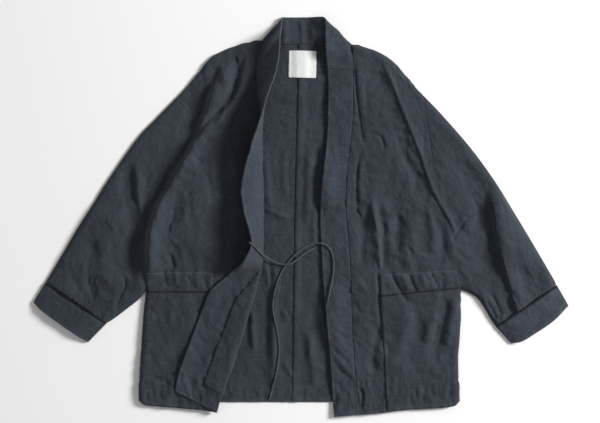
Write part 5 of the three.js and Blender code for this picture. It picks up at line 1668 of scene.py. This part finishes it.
# %% [markdown]
# One node tree sets a stitch at every step of such a line. A stitch is a small bead drawn out along the
# line, and each is a little longer or shorter than the next.
# %% The stitch tree
STITCH_SPACING = 0.003
STITCH_LENGTH = 0.0023
STITCH_VARIES = (0.8, 1.15)
THREAD = 0.0005
STITCH_SEED = 7
BEAD_RADIUS = 0.5
BEAD_FACES = 20
STITCH_SOCKETS = {
    "Spacing": ("NodeSocketFloat", STITCH_SPACING), "Length": ("NodeSocketFloat", STITCH_LENGTH),
    "Thread": ("NodeSocketFloat", THREAD), "Seed": ("NodeSocketInt", STITCH_SEED),
    "Material": ("NodeSocketMaterial", None),
}


def stitch_tree():
    """Lines in, beads out. Each input is made from the table above."""
    tree = bpy.data.node_groups.new("stitches", "GeometryNodeTree")
    tree.interface.new_socket("Geometry", in_out="INPUT", socket_type="NodeSocketGeometry")
    for name, (kind, _) in STITCH_SOCKETS.items():
        tree.interface.new_socket(name, in_out="INPUT", socket_type=kind)
    tree.interface.new_socket("Geometry", in_out="OUTPUT", socket_type="NodeSocketGeometry")
    given = tree.nodes.new("NodeGroupInput").outputs
    curve = link_nodes(tree, "GeometryNodeMeshToCurve", Mesh=given["Geometry"]).outputs["Curve"]
    places = tree.nodes.new("GeometryNodeCurveToPoints")
    places.mode = "LENGTH"
    tree.links.new(curve, places.inputs["Curve"])
    tree.links.new(given["Spacing"], places.inputs["Length"])
    bead = link_nodes(tree, "GeometryNodeMeshIcoSphere", Radius=BEAD_RADIUS, Subdivisions=1)
    vary = link_nodes(tree, "FunctionNodeRandomValue", Seed=given["Seed"])
    vary.inputs[2].default_value, vary.inputs[3].default_value = STITCH_VARIES
    long = maths(tree, "MULTIPLY", given["Length"], vary.outputs[1])
    size = link_nodes(tree, "ShaderNodeCombineXYZ", X=given["Thread"], Y=given["Thread"], Z=long)
    set_out = link_nodes(
        tree, "GeometryNodeInstanceOnPoints", Points=places.outputs["Points"], Instance=bead.outputs["Mesh"],
        Rotation=places.outputs["Rotation"], Scale=size.outputs["Vector"])
    real = link_nodes(tree, "GeometryNodeRealizeInstances", Geometry=set_out.outputs["Instances"])
    done = link_nodes(
        tree, "GeometryNodeSetMaterial", Geometry=real.outputs["Geometry"], Material=given["Material"])
    result = tree.nodes.new("NodeGroupOutput")
    tree.links.new(done.outputs["Geometry"], result.inputs["Geometry"])
    return tree


print("inputs of the tree:", list(STITCH_SOCKETS))

# %% [markdown]
# All lines become one mesh of edges, and the tree turns it into stitches. Its result is kept as a plain
# mesh, and the modifier is taken off again.
# %% Stitches
thread_cotton = cotton("thread_cotton", (0.030, 0.036, 0.045), (0.042, 0.050, 0.060), (0.09, 0.10, 0.12))
points, edges = np.concatenate(lines) * MM, []
seen = 0
for line in lines:
    edges += [(seen + i, seen + i + 1) for i in range(len(line) - 1)]
    seen += len(line)
line_mesh = bpy.data.meshes.new("stitch_lines")
line_mesh.from_pydata(points, edges, [])
stitches = bpy.data.objects.new("stitches", line_mesh)
bpy.context.scene.collection.objects.link(stitches)
modifier = stitches.modifiers.new("stitches", "NODES")
modifier.node_group = stitch_tree()
values = {name: value for name, (_, value) in STITCH_SOCKETS.items()} | {"Material": thread_cotton}
for item in modifier.node_group.interface.items_tree:
    if item.in_out == "INPUT" and item.name in values:
        modifier[item.identifier] = values[item.name]
bpy.context.view_layer.update()
plain = bpy.data.meshes.new_from_object(stitches.evaluated_get(bpy.context.evaluated_depsgraph_get()))
stitches.modifiers.clear()
stitches.data = plain
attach(stitches, "root")
print("stitches:", len(plain.polygons) // BEAD_FACES, "triangles:", len(plain.polygons))
